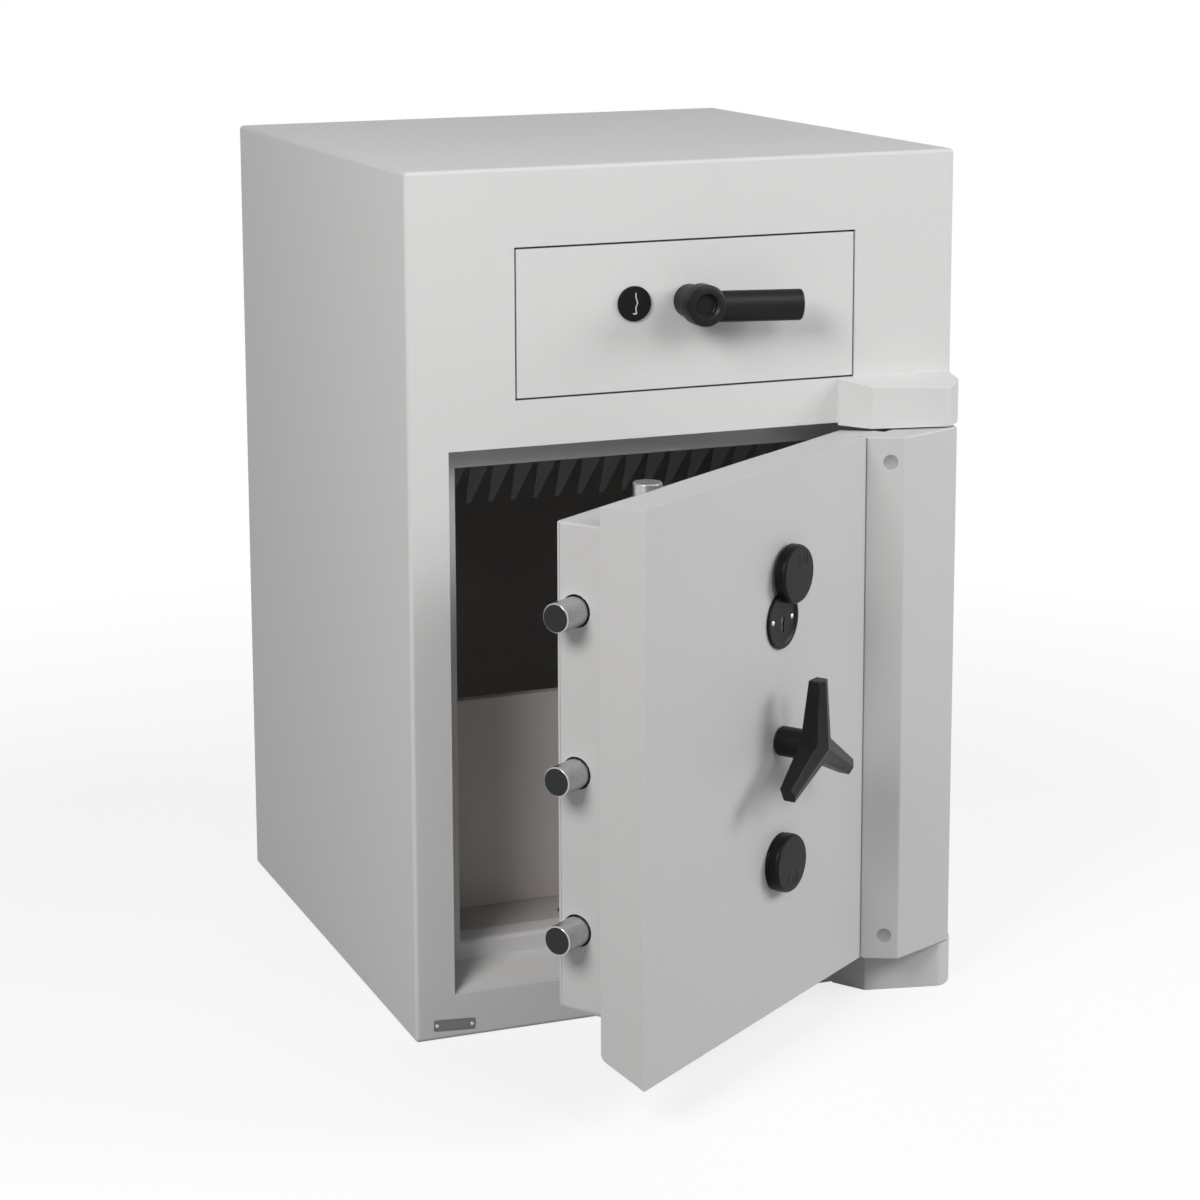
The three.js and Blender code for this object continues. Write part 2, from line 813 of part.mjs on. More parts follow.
// And the wedge taken off the slab's top edge.
const topBevel = () =>
  spanX(
    outline([
      [0, slabTop],
      [slabBackFace, slabTop - slabTaper],
      [slabBackFace + lap, slabTop - slabTaper],
      [slabBackFace + lap, slabTop + lap],
      [0, slabTop + lap],
    ]),
    slabLeft - lap,
    slabRight + lap,
  );

function doorSlab() {
  const plan = outline([
    [slabLeft, 0],
    [stepLeft, 0],
    [stepLeft, stepDepth],
    [slabRight, stepDepth],
    [slabRight, slabBackFace],
    [slabLeft + slabTaper, slabBackFace],
  ]);
  const holes = [rodY(fittingX, handleZ, -lap, slabBackFace, bushRadius + seat)];
  for (const z of lockHeights) {
    holes.push(keyhole(z, -lap, slabBackFace));
    for (const x of screwPlaces) {
      const end = lockScrewLength - escutcheonThickness;
      holes.push(rodY(x, z, -lap, end, lockScrewShank + seat));
    }
  }
  return cut(raise(plan, slabBottom, slabTop), bottomBevel(), topBevel(), doorPocket(0), ...holes);
}

const doorInfill = () =>
  cut(
    doorPocket(seat),
    rodY(fittingX, handleZ, 0, slabBackFace + lap, bushRadius + seat),
    ...lockHeights.map((z) => keyhole(z, 0, slabBackFace + lap)),
  );

const posts = [];
for (const x of [boxLeft + postInset, boxRight - postInset]) {
  for (const z of [boxBottom + postInset, boxTop - postInset]) {
    posts.push([x, z]);
  }
}

const screwHole = coverScrewShank + seat;

// Bolt box: a folded surround with a tapped post in each corner and a hole for every bolt.
function boltBox() {
  const t = boxSheet;
  const radius = boltRadius + running;
  const outside = roundedOutline(boxLeft, boxRight, boxBottom, boxTop, boxCornerRadius);
  const inside = roundedOutline(
    boxLeft + t,
    boxRight - t,
    boxBottom + t,
    boxTop - t,
    boxCornerRadius - t,
  );
  const back = coverFront - seat;
  const surround = cut(spanY(outside, boxFront, back), spanY(inside, boxFront - lap, back + lap));
  return cut(
    join(surround, ...posts.map(([x, z]) => rodY(x, z, boxFront, back, postRadius))),
    ...posts.map(([x, z]) => rodY(x, z, back - coverScrewHole, back + lap, screwHole)),
    ...sideBoltHeights.map((z) => rodX(boltY, z, boxLeft - lap, boxLeft + t + lap, radius)),
    rodZ(endBoltX, boltY, boxTop - t - lap, boxTop + lap, radius),
    rodZ(endBoltX, boltY, boxBottom - lap, boxBottom + t + lap, radius),
  );
}

const boltBoxCover = () =>
  cut(
    spanY(
      roundedOutline(boxLeft, boxRight, boxBottom, boxTop, boxCornerRadius),
      coverFront,
      boxBack,
    ),
    ...posts.map(([x, z]) => rodY(x, z, coverFront - lap, boxBack + lap, screwHole)),
  );

const headBase = boxBack + seat;
const coverScrew = ([x, z]) =>
  join(
    rodY(x, z, coverFront - coverScrewLength, headBase, coverScrewShank),
    rodY(x, z, headBase, headBase + coverScrewRise, coverScrewHead, coverScrewTop),
  );

// Hinge pillar: its root fills the slab's step, and it stands on the front of the jamb.
function hingePillar() {
  const root = stepLeft + grooveWidth;
  const arcFrom = Math.asin(Math.min(1, (pillarEnd - hingeX) / sweepRadius));
  const plan = new THREE.Shape();
  plan.moveTo(root, stepDepth - seat);
  plan.lineTo(root, 0);
  for (const [x, y] of crest) plan.lineTo(x, y);
  plan.absarc(hingeX, hingeY, sweepRadius, Math.PI / 2 - arcFrom, Math.PI / 2);
  plan.lineTo(slabRight, -lap);
  plan.lineTo(slabRight, stepDepth - seat);
  return cut(
    raise(plan, pillarBottom, pillarTop),
    bottomBevel(),
    pinHole(pillarBottom - lap, pillarBottom + hingePinInPillar + seat),
    pinHole(pillarTop - hingePinInPillar - seat, pillarTop + lap),
    ...plugHeights.map((z) => plug(z, plugRadius + seat, lap, plugDepth + seat)),
  );
}

const lockCase = (z) =>
  cut(
    box(
      fittingX - lockCaseWidth / 2,
      fittingX + lockCaseWidth / 2,
      boxFront,
      boxFront + lockCaseThickness,
      z - lockCaseHeight / 2,
      z + lockCaseHeight / 2,
    ),
    keyhole(z, boxFront - lap, boxFront + lockCaseThickness - lockCaseBack),
  );

const escutcheonFront = -seat - escutcheonThickness;
const keyCoverBack = escutcheonFront - seat;
const keyCoverFront = keyCoverBack - keyCoverThickness;

function escutcheon(z) {
  const pinZ = z + keyCoverPivot;
  const holes = [
    keyhole(z, escutcheonFront - lap, 0),
    rodY(fittingX, pinZ, escutcheonFront - lap, 0, keyCoverPinRadius + seat),
  ];
  for (const x of screwPlaces) {
    const sinkBack = escutcheonFront + lockScrewHeadDepth + seat;
    holes.push(rodY(x, z, escutcheonFront - lap, 0, lockScrewShank + seat));
    holes.push(rodY(x, z, escutcheonFront - lap, sinkBack, lockScrewHead + seat));
  }
  return cut(rodY(fittingX, z, escutcheonFront, -seat, escutcheonRadius), ...holes);
}

const lockHeadBack = escutcheonFront + lockScrewHeadDepth;
const lockScrew = (x, z) =>
  join(
    rodY(x, z, escutcheonFront, lockHeadBack, lockScrewHead),
    rodY(x, z, lockHeadBack, escutcheonFront + lockScrewLength, lockScrewShank),
  );

const keyCoverPin = (z) =>
  rodY(
    fittingX,
    z + keyCoverPivot,
    keyCoverBack - keyCoverPinDepth + seat,
    -seat,
    keyCoverPinRadius,
  );

// A key cover in its closed place: a thick disc with a bevelled face and a thumb recess.
function keyCover(z) {
  const rim = keyCoverFront + keyCoverBevel;
  const disc = join(
    rodY(fittingX, z, rim, keyCoverBack, keyCoverRadius),
    rodY(fittingX, z, keyCoverFront, rim, keyCoverRadius - keyCoverBevel, keyCoverRadius),
  );
  return cut(
    disc,
    rodY(
      fittingX,
      z + keyCoverPivot,
      keyCoverBack - keyCoverPinDepth,
      keyCoverBack + lap,
      keyCoverPinRadius + seat,
    ),
    rodY(fittingX, z - thumbDrop, keyCoverFront - lap, keyCoverFront + thumbDepth, thumbRadius),
  );
}

const handleBush = () =>
  cut(
    rodY(fittingX, handleZ, -seat, slabBackFace - seat, bushRadius),
    rodY(fittingX, handleZ, -seat - lap, slabBackFace, spindleRadius + seat),
  );

// An upright spoke about its plane: a flat back, two sides and a ridged front, narrowing to its tip.
function spoke() {
  const half = spokeRootWidth / 2;
  const section = outline([
    [-half, spokeBack],
    [-half, -spokeEave],
    [0, -spokeRidge],
    [half, -spokeEave],
    [half, spokeBack],
  ]);
  const geometry = raise(section, 0, spokeReach);
  const p = geometry.attributes.position;
  for (let k = 0; k < p.count; k++) {
    const size = p.getZ(k) > 0 ? spokeTaper : 1;
    p.setXY(k, p.getX(k) * size, p.getY(k) * size);
  }
  return geometry;
}

// Handle: three spokes on a round boss, one of them upright.
function triSpokeHandle() {
  const spokes = [0, 1, 2].map((i) =>
    spoke()
      .rotateY((i * 2 * Math.PI) / 3)
      .translate(fittingX, -spokePlane, handleZ),
  );
  const boss = rodY(fittingX, handleZ, -spokePlane, -bossGap, bossRadius);
  return cut(
    join(boss, ...spokes),
    rodY(fittingX, handleZ, -spokePlane + bossSocket, 0, spindleRadius + seat),
  );
}

const discBack = discFront + discThickness;
const handleSpindle = () =>
  rodY(fittingX, handleZ, -spokePlane + bossSocket + seat, discFront - seat, spindleRadius);

// Crank pins: the side pin starts at 135 degrees, the top pin at 45 and the bottom pin at 225, so a
// quarter turn carries each symmetrically past its middle.
const sideCrank = sideTravel * Math.SQRT1_2;
const endCrank = endTravel * Math.SQRT1_2;
const crank = (radius, degrees) => [
  fittingX + radius * Math.cos(radians(degrees)),
  handleZ + radius * Math.sin(radians(degrees)),
];
const sidePin = crank(sideCrank, 135);
const topPin = crank(endCrank, 45);
const bottomPin = crank(endCrank, 225);

function driveDisc() {
  const sleeve = discFront - discSocket;
  const socket = cut(
    rodY(fittingX, handleZ, sleeve, discFront, spindleRadius + 2 * bushWall),
    rodY(fittingX, handleZ, sleeve - lap, discFront + lap, spindleRadius + seat),
  );
  const endPinBack = linkFront + linkSheet + crankPinEnd;
  const sidePinBack = carriageFront + linkSheet + crankPinEnd;
  return join(
    rodY(fittingX, handleZ, discFront, discBack, discRadius),
    socket,
    rodY(...sidePin, discBack - lap, sidePinBack, crankPinRadius),
    rodY(...topPin, discBack - lap, endPinBack, crankPinRadius),
    rodY(...bottomPin, discBack - lap, endPinBack, crankPinRadius),
  );
}

// Side bolt carriage: an upright bar with a bracket for each bolt and an arm to the drive disc, whose
// slot lets the crank pin rise and fall.
function boltCarriage() {
  const y0 = carriageFront;
  const y1 = carriageFront + linkSheet;
  const half = bracketHeight / 2;
  const right = carriageLeft + carriageWidth;
  const slotHalf = crankPinRadius + running + slotEase;
  const end = carriageArmEnd;
  const slotBottom = sidePin[1] - crankPinRadius - running;
  const slotTop = handleZ + sideCrank + crankPinRadius + running;
  const bar = box(
    carriageLeft,
    right,
    y0,
    y1,
    Math.min(...sideBoltHeights) - half,
    Math.max(...sideBoltHeights) + half,
  );
  const arm = box(right - lap, sidePin[0] + slotHalf + end, y0, y1, slotBottom - end, slotTop + end);
  const brackets = sideBoltHeights.map((z) =>
    box(carriageLeft, right, y1 - lap, boltY + boltRadius - bracketSetback, z - half, z + half),
  );
  return cut(
    join(bar, arm, ...brackets),
    box(sidePin[0] - slotHalf, sidePin[0] + slotHalf, y0 - lap, y1 + lap, slotBottom, slotTop),
  );
}

const sideBolt = (z) =>
  join(
    rodX(boltY, z, sideBoltTip + boltBevel, carriageLeft - seat, boltRadius),
    rodX(boltY, z, sideBoltTip, sideBoltTip + boltBevel, boltRadius - boltBevel, boltRadius),
  );

// The top and bottom links mirror each other; way is 1 for the top and -1 for the bottom. Each steps
// sideways round the side crank pin's path, then runs to its bolt.
function endLink(way, pin, boltRoot) {
  const y0 = linkFront;
  const y1 = linkFront + linkSheet;
  const outX = fittingX + way * linkDetour;
  const turnZ = handleZ + way * 2 * linkDetour;
  const w = linkBarWidth;
  const span = (a, b) => [Math.min(a, b), Math.max(a, b)];
  const arm = box(
    ...span(fittingX + way * linkOverlap, outX),
    y0,
    y1,
    pin[1] - w / 2,
    pin[1] + w / 2,
  );
  const foot = pin[1] - (way * w) / 2;
  const riser = box(...span(outX - way * w, outX), y0, y1, ...span(foot, turnZ));
  const across = box(
    endBoltX - endLinkWidth / 2,
    way > 0 ? outX : outX + w,
    y0,
    y1,
    ...span(turnZ - way * w, turnZ),
  );
  const run = box(
    endBoltX - endLinkWidth / 2,
    endBoltX + endLinkWidth / 2,
    y0,
    y1,
    ...span(turnZ - way * w, boltRoot),
  );
  const bracket = box(
    endBoltX - endLinkWidth / 2,
    endBoltX + endLinkWidth / 2,
    y1 - lap,
    boltY + boltRadius - bracketSetback,
    ...span(boltRoot - way * endBracket, boltRoot),
  );
  const reach = crankPinRadius + running;
  const slot = box(
    ...span(pin[0] - way * reach, fittingX + way * (endCrank + reach)),
    y0 - lap,
    y1 + lap,
    pin[1] - reach,
    pin[1] + reach,
  );
  return cut(join(arm, riser, across, run, bracket), slot);
}

const topBoltRoot = topBoltTip - endBoltLength;
const bottomBoltRoot = bottomBoltTip + endBoltLength;
function endBolt(tip, root, way) {
  const end = root + way * seat;
  const neck = tip - way * boltBevel;
  const narrow = boltRadius - boltBevel;
  return way > 0
    ? join(
        rodZ(endBoltX, boltY, end, neck, boltRadius),
        rodZ(endBoltX, boltY, neck, tip, boltRadius, narrow),
      )
    : join(
        rodZ(endBoltX, boltY, neck, end, boltRadius),
        rodZ(endBoltX, boltY, tip, neck, narrow, boltRadius),
      );
}

function buildDoor() {
  const swing = carrier(cabinet, hingeX, hingeY, 0);
  swing.pivot.rotation.z = radians(ajar);
  const door = swing.inner;
  add(door, "door_slab", doorSlab(), doorGrey());
  add(door, "door_infill", doorInfill(), concrete());
  add(door, "bolt_box", boltBox(), doorGrey());
  add(door, "bolt_box_cover", boltBoxCover(), doorGrey());
  posts.forEach((place, i) => add(door, "bolt_box_screw_" + (i + 1), coverScrew(place), zinc()));
  add(door, "hinge_pillar", hingePillar(), lightGrey());
  ["upper", "lower"].forEach((which, i) => {
    const z = lockHeights[i];
    const plugShape = plug(plugHeights[i], plugRadius, -plugSink, plugDepth);
    add(door, "pillar_plug_" + which, plugShape, doorGrey());
    add(door, "lock_case_" + which, lockCase(z), zinc());
    add(door, "escutcheon_" + which, escutcheon(z), black());
    add(door, "key_cover_pin_" + which, keyCoverPin(z), steel());
    screwPlaces.forEach((x, side) =>
      add(
        door,
        ["escutcheon_screw", which, side ? "right" : "left"].join("_"),
        lockScrew(x, z),
        steel(),
      ),
    );
    const cover = carrier(door, fittingX, 0, z + keyCoverPivot);
    if (i === 0) cover.pivot.rotation.y = -radians(keyCoverOpen);
    add(cover.inner, "key_cover_" + which, keyCover(z), black());
  });
  add(door, "handle_bush", handleBush(), metal(0xb08d4f, 0.4));
  add(door, "tri_spoke_handle", triSpokeHandle(), black());
  add(door, "handle_spindle", handleSpindle(), steel());
  add(door, "drive_disc", driveDisc(), zinc());
  add(door, "side_bolt_carriage", boltCarriage(), zinc());
  ["upper", "middle", "lower"].forEach((which, i) =>
    add(door, "side_bolt_" + which, sideBolt(sideBoltHeights[i]), chrome()),
  );
  add(door, "top_bolt", endBolt(topBoltTip, topBoltRoot, 1), chrome());
  add(door, "top_bolt_link", endLink(1, topPin, topBoltRoot), zinc());
  add(door, "bottom_bolt", endBolt(bottomBoltTip, bottomBoltRoot, -1), chrome());
  add(door, "bottom_bolt_link", endLink(-1, bottomPin, bottomBoltRoot), zinc());
}

// Drawer
const camFront = drawerFrontThickness + camGap;
const camBack = camFront + camThickness;
const trayReach = Math.hypot(trayLength - trayLip, trayLip);
const shieldFront = trayPivotY + trayReach + shieldGap;
const shieldBack = shieldFront + carriageSheet;
const trayHalf = trayWidth / 2;
const armInside = drawerWidth / 2 - carriageSheet;

const drawerFront = () =>
  cut(
    box(drawerLeft, drawerRight, 0, drawerFrontThickness, drawerBottom, drawerTop),
    rodY(leverX, leverZ, -lap, drawerFrontThickness + lap, leverSpindleRadius + seat),
    rodY(lockX, leverZ, -lap, drawerFrontThickness + lap, lockBodyRadius + seat),
  );

// Carriage: two side arms folded to the drawer front, slide blocks at their back ends, and the
// shield that closes the tray's open back when the drawer is out.
function drawerCarriage() {
  const pieces = [];
  const holes = [];
  for (const side of [-1, 1]) {
    const at = (distance) => middle + side * distance;
    const span = (a, b) => [Math.min(at(a), at(b)), Math.max(at(a), at(b))];
    const outer = armInside + carriageSheet;
    const y0 = drawerFrontThickness;
    const top = armBottom + armHeight;
    pieces.push(box(...span(armInside, outer), y0, shieldBack, armBottom, top));
    pieces.push(box(...span(outer - armFlange, outer), y0, y0 + carriageSheet, armBottom, top));
    pieces.push(
      box(
        ...span(outer - slideBlockLap, housingHalfWidth - runnerSheet - running),
        shieldBack - slideBlockLength,
        shieldBack,
        runnerBottom + runnerSheet + running,
        runnerBottom + runnerHeight - runnerSheet - running,
      ),
    );
    const bore = span(armInside - lap, outer + lap);
    holes.push(rodX(trayPivotY, trayPivotZ, ...bore, trayPinRadius + seat));
  }
  const shield = box(
    middle - armInside - lap,
    middle + armInside + lap,
    shieldFront,
    shieldBack,
    shieldBottom,
    shieldTop,
  );
  return cut(join(...pieces, shield), ...holes);
}

const drawerLockBody = () =>
  cut(
    rodY(lockX, leverZ, 0, drawerFrontThickness, lockBodyRadius),
    rodY(lockX, leverZ, -lap, drawerFrontThickness + lap, lockPlugRadius + seat),
  );

// Lock plug: the round face with its keyway, the plug and the cam behind the drawer front.
function drawerLockPlug() {
  const face = cut(
    rodY(lockX, leverZ, -seat - lockFaceThickness, -seat, lockFaceRadius),
    box(
      lockX - keywayWidth / 2,
      lockX + keywayWidth / 2,
      -seat - lockFaceThickness - lap,
      -seat - lockFaceThickness + keywayDepth,
      leverZ - keywayHeight / 2,
      leverZ + keywayHeight / 2,
    ),
  );
  return join(
    face,
    rodY(lockX, leverZ, -seat - lockPlugLap, camBack, lockPlugRadius),
    box(
      lockX - lockCamReach,
      lockX,
      camFront,
      camBack,
      leverZ - lockCamWidth / 2,
      leverZ + lockCamWidth / 2,
    ),
  );
}

// Lever: a stepped hub with a round socket in its face, a paddle bar and the spindle.
function drawerLever() {
  const along = (y0, y1, r, r1) => rodY(leverX, leverZ, y0, y1, r, r1);
  const brow = -leverHubFront + leverHubBevel;
  const root = along(-leverHubStart, -leverRootGap, leverRootRadius);
  const flare = along(-leverHubFull, -leverHubStart, leverHubRadius, leverRootRadius);
  const hub = along(brow, -leverHubFull, leverHubRadius);
  const nose = along(-leverHubFront, brow, leverHubRadius - leverHubBevel, leverHubRadius);
  const barFront = -leverHubFront + leverBarSetback;
  const bar = spanX(
    roundedOutline(
      barFront,
      barFront + leverBarDepth,
      leverZ - leverBarDrop - leverBarHeight / 2,
      leverZ - leverBarDrop + leverBarHeight / 2,
      leverBarRound,
    ),
    leverX,
    leverX + leverReach,
  );
  bar.translate(-leverX, 0, -leverZ).rotateY(radians(leverDroop)).translate(leverX, 0, leverZ);
  const spindle = along(-leverHubStart, leverSpindleBack, leverSpindleRadius);
  return cut(
    join(root, flare, hub, nose, bar, spindle),
    along(-leverHubFront - lap, -leverHubFront + leverSocketDepth, leverSocketRadius),
  );
}

function latchCam() {
  const eye = rodY(leverX, leverZ, camFront, camBack, leverSpindleRadius + camEyeWall);
  const blade = box(
    leverX,
    leverX + latchCamReach,
    camFront,
    camBack,
    leverZ - camWidth / 2,
    leverZ + camWidth / 2,
  );
  return cut(
    join(eye, blade),
    rodY(leverX, leverZ, camFront - lap, camBack + lap, leverSpindleRadius + seat),
  );
}

// Tray, level: open at the back, its sides cut to an arc about its pivots to clear the shield.
function tipTray() {
  const front = trayPivotY - trayLip;
  const under = trayPivotZ - trayLip;
  const rim = under + trayDepth;
  const arcTop = Math.asin((rim - trayPivotZ) / trayReach);
  const arcBottom = -Math.asin(trayLip / trayReach);
  const side = new THREE.Shape();
  side.moveTo(front, under);
  side.lineTo(front + trayLength, under);
  side.absarc(trayPivotY, trayPivotZ, trayReach, arcBottom, arcTop);
  side.lineTo(front, rim);
  const shell = spanX(side, middle - trayHalf, middle + trayHalf);
  const hollow = box(
    middle - trayHalf + traySheet,
    middle + trayHalf - traySheet,
    front + traySheet,
    trayPivotY + trayReach + lap,
    under + traySheet,
    rim + lap,
  );
  const body = cut(shell, hollow);
  const pins = [-1, 1].flatMap((way) => {
    const span = (a, b) => [middle + way * a, middle + way * b].sort((p, q) => p - q);
    const pin = span(trayHalf - lap, armInside + carriageSheet + lap);
    const collar = span(trayHalf - lap, armInside - seat);
    return [
      rodX(trayPivotY, trayPivotZ, ...pin, trayPinRadius),
      rodX(trayPivotY, trayPivotZ, ...collar, trayCollarRadius),
    ];
  });
  return join(body, ...pins);
}

function buildDrawer() {
  add(cabinet, "drawer_front", drawerFront(), lightGrey());
  add(cabinet, "drawer_carriage", drawerCarriage(), zinc());
  add(cabinet, "drawer_lock_body", drawerLockBody(), zinc());
  add(cabinet, "drawer_lock_plug", drawerLockPlug(), black());
  add(cabinet, "drawer_lever", drawerLever(), black());
  add(cabinet, "drawer_latch_cam", latchCam(), zinc());
  const tip = carrier(cabinet, middle, trayPivotY, trayPivotZ);
  tip.pivot.rotation.x = -radians(trayTilt);
  add(tip.inner, "tip_tray", tipTray(), zinc());
}

buildCabinet();
buildDoor();
buildDrawer();

export default safe;
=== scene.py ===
# Deposit safe: a counter-height steel safe with a drawer above a hinged door, modelled and finished
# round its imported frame. Sizes in this file are millimetres in the safe's own coordinates, x from
# its left side, y back from its front face and z up, and the door's pieces are drawn with it shut.

import json
import math

import bmesh
import bpy
from bpy.props import FloatProperty, FloatVectorProperty, PointerProperty
from mathutils import Matrix, Vector


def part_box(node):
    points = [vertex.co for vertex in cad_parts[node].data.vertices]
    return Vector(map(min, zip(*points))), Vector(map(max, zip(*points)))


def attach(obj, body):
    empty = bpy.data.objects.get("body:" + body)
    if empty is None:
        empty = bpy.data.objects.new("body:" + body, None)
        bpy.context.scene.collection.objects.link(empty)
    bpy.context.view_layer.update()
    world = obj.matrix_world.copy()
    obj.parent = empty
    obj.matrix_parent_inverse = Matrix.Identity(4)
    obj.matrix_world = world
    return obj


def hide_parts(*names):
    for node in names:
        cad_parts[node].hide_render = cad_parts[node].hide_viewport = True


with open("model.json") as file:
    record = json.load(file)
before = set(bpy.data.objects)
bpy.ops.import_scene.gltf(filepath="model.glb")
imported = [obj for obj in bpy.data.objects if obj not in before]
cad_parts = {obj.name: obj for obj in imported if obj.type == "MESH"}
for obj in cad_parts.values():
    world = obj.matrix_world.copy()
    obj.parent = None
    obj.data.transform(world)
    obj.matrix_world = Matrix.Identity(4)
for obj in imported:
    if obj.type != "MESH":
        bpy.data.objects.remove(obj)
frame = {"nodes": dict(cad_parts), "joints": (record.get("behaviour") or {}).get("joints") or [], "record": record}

bl_info = {
    "name": "Deposit safe",
    "version": (1, 0, 0),
    "blender": (4, 5, 0),
    "location": "View3D > Sidebar > Safe",
    "description": "Models and finishes a deposit safe with a drawer and a vault door",
    "category": "Add Mesh",
}

MM = 0.001
X, Y, Z = Vector((1, 0, 0)), Vector((0, 1, 0)), Vector((0, 0, 1))
CASING_LOW, CASING_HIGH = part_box("outer_casing")
CORNER = Vector((CASING_LOW.x, CASING_LOW.y, 0))
WIDTH, DEPTH, HEIGHT = ((CASING_HIGH - CASING_LOW) / MM)[:]
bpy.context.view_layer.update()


def joint(name):
    return next(j for j in frame["joints"] if j["name"] == name)


def frame_box(node):
    """A cabinet node's two corners in the safe's millimetres."""
    return [(corner - CORNER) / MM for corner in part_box(node)]


HINGE = Vector(joint("door_swing")["pos_m"])
AJAR = -math.radians(joint("door_swing")["range_deg"][0])
DOOR = (
    Matrix.Translation(HINGE) @ Matrix.Rotation(AJAR, 4, "Z") @ Matrix.Translation(-HINGE)
)
COVER_SWING = math.radians(joint("upper_cover_swing")["range_deg"][1])

SEAT = 0.3
LIP = 4.0

# Door and bolt case, drawn shut
SLAB = {"left": 45, "right": 490, "bottom": 49.5, "top": 586, "back": 49}
STEP_LEFT, STEP_DEPTH, GROOVE = 453.5, 12, 3
TAPER, SILL_BEVEL = 3.5, 19
CASE = {"left": 81, "right": 460, "bottom": 91, "top": 557, "front": 49.3, "back": 116}
CASE_SHEET = 2.5
POST_INSET, POST_RADIUS, SCREW_HOLE = 8.5, 7, 2.8
FITTINGS_X, HANDLE_Z = 288, 318.5
LOCKS_Z = {"upper": 437, "lower": 198.5}
HINGE_X, HINGE_Y, PIN = 553, -32, 8
PILLAR_LOW, PILLAR_HIGH = 47.2, 585.7
BLOCK_TOP, BLOCK_FALL = 635, 8.5
CREST = [(475, -32), (554, -49), (575, -27)]
SWEEP = 31
PLUG_ACROSS, PLUG_FROM_END = 0.62, 25
BOLT, BOLT_Y, BOLT_GAP = 14, 96, 1.6
SIDE_BOLTS = {"upper": 475.6, "middle": 323, "lower": 172}
BOLT_TIP, BOLT_ROOT = 48, 111.7
END_BOLT_X = 203
SPREAD = 17.8
COVER_PIVOT = 22.8

# How much of the floor's light near the safe is its own; the rest shows the shadow
FLOOR_GLOW = 0.78

# Drawer and plate
PLATE_TILT = 3.6
LEVER_X, LEVER_Z, LOCK_X = 290, 723, 232.5


class SafeSizes(bpy.types.PropertyGroup):
    """Roundings and small details that the frame leaves open"""

    casing_edge: FloatProperty(
        name="Casing edge", description="Rounding of the cabinet's outer edges",
        default=0.0042, min=0.0002, max=0.01, unit="LENGTH", subtype="DISTANCE")
    door_edge: FloatProperty(
        name="Door edge", description="Rounding of the door slab's front edges",
        default=0.0038, min=0.0002, max=0.01, unit="LENGTH", subtype="DISTANCE")
    hinge_edge: FloatProperty(
        name="Hinge edge", description="Rounding of the hinge pillar and its blocks",
        default=0.0045, min=0.0002, max=0.008, unit="LENGTH", subtype="DISTANCE")
    sheet_edge: FloatProperty(
        name="Sheet edge", description="Rounding of folded sheet edges",
        default=0.0005, min=0.0001, max=0.001, unit="LENGTH", subtype="DISTANCE")


class SafeFinishes(bpy.types.PropertyGroup):
    """Colours of the finishes"""

    body: FloatVectorProperty(
        name="Body paint", description="Powder coat of the cabinet",
        default=(0.655, 0.655, 0.65), size=3, min=0, max=1, subtype="COLOR")
    # The door's coat is set darker than the cabinet's: painted shade on the turned door.
    door: FloatVectorProperty(
        name="Door paint", description="Powder coat of the door",
        default=(0.57, 0.57, 0.565), size=3, min=0, max=1, subtype="COLOR")
    # The lining's coat is set darker than the cabinet's: painted shade inside the vault.
    interior: FloatVectorProperty(
        name="Interior paint", description="Coat of the vault's lining",
        default=(0.48, 0.46, 0.445), size=3, min=0, max=1, subtype="COLOR")
    casting: FloatVectorProperty(
        name="Black coat", description="Satin coat of the handle and the lever",
        default=(0.006, 0.006, 0.006), size=3, min=0, max=1, subtype="COLOR")
    plastic: FloatVectorProperty(
        name="Black moulding", description="Key covers, escutcheons and lock face",
        default=(0.005, 0.005, 0.005), size=3, min=0, max=1, subtype="COLOR")
    chrome: FloatVectorProperty(
        name="Bolt chrome", description="Hard chrome of the bolts",
        default=(0.5, 0.5, 0.5), size=3, min=0, max=1, subtype="COLOR")
    zinc: FloatVectorProperty(
        name="Zinc plating", description="Plated sheet steel of the drawer and its runners",
        default=(0.5, 0.51, 0.5), size=3, min=0, max=1, subtype="COLOR")


# Modelling

def place(x, y, z):
    return CORNER + Vector((x, y, z)) * MM


def deselect():
    if bpy.context.mode != "OBJECT":
        bpy.ops.object.mode_set(mode="OBJECT")
    bpy.ops.object.select_all(action="DESELECT")


def settled(name):
    """The object just added, named, with its place in its mesh."""
    obj = bpy.context.object
    obj.name = obj.data.name = name
    bpy.ops.object.transform_apply(location=True, rotation=True, scale=True)
    return obj


def edit(obj, kind="FACE"):
    deselect()
    bpy.context.view_layer.objects.active = obj
    obj.select_set(True)
    bpy.ops.object.mode_set(mode="EDIT")
    bpy.ops.mesh.select_mode(type=kind)
    bpy.ops.mesh.select_all(action="DESELECT")


def done(obj):
    bpy.ops.object.mode_set(mode="OBJECT")
    return obj


def pick(obj, test):
    """Selects the faces or edges in edit mode that pass the test, given their middle in millimetres."""
    mesh = bmesh.from_edit_mesh(obj.data)
    if bpy.context.tool_settings.mesh_select_mode[2]:
        for face in mesh.faces:
            middle = (face.calc_center_median() - CORNER) / MM
            face.select_set(bool(test(middle, face.normal)))
    else:
        for edge in mesh.edges:
            a, b = [(v.co - CORNER) / MM for v in edge.verts]
            edge.select_set(bool(test(a, b)))
    bmesh.update_edit_mesh(obj.data)


def face_out():
    bpy.ops.mesh.select_all(action="SELECT")
    bpy.ops.mesh.normals_make_consistent(inside=False)


def block(name, low, high):
    deselect()
    a, b = place(*low), place(*high)
    bpy.ops.mesh.primitive_cube_add(size=1, location=(a + b) / 2, scale=b - a)
    return settled(name)


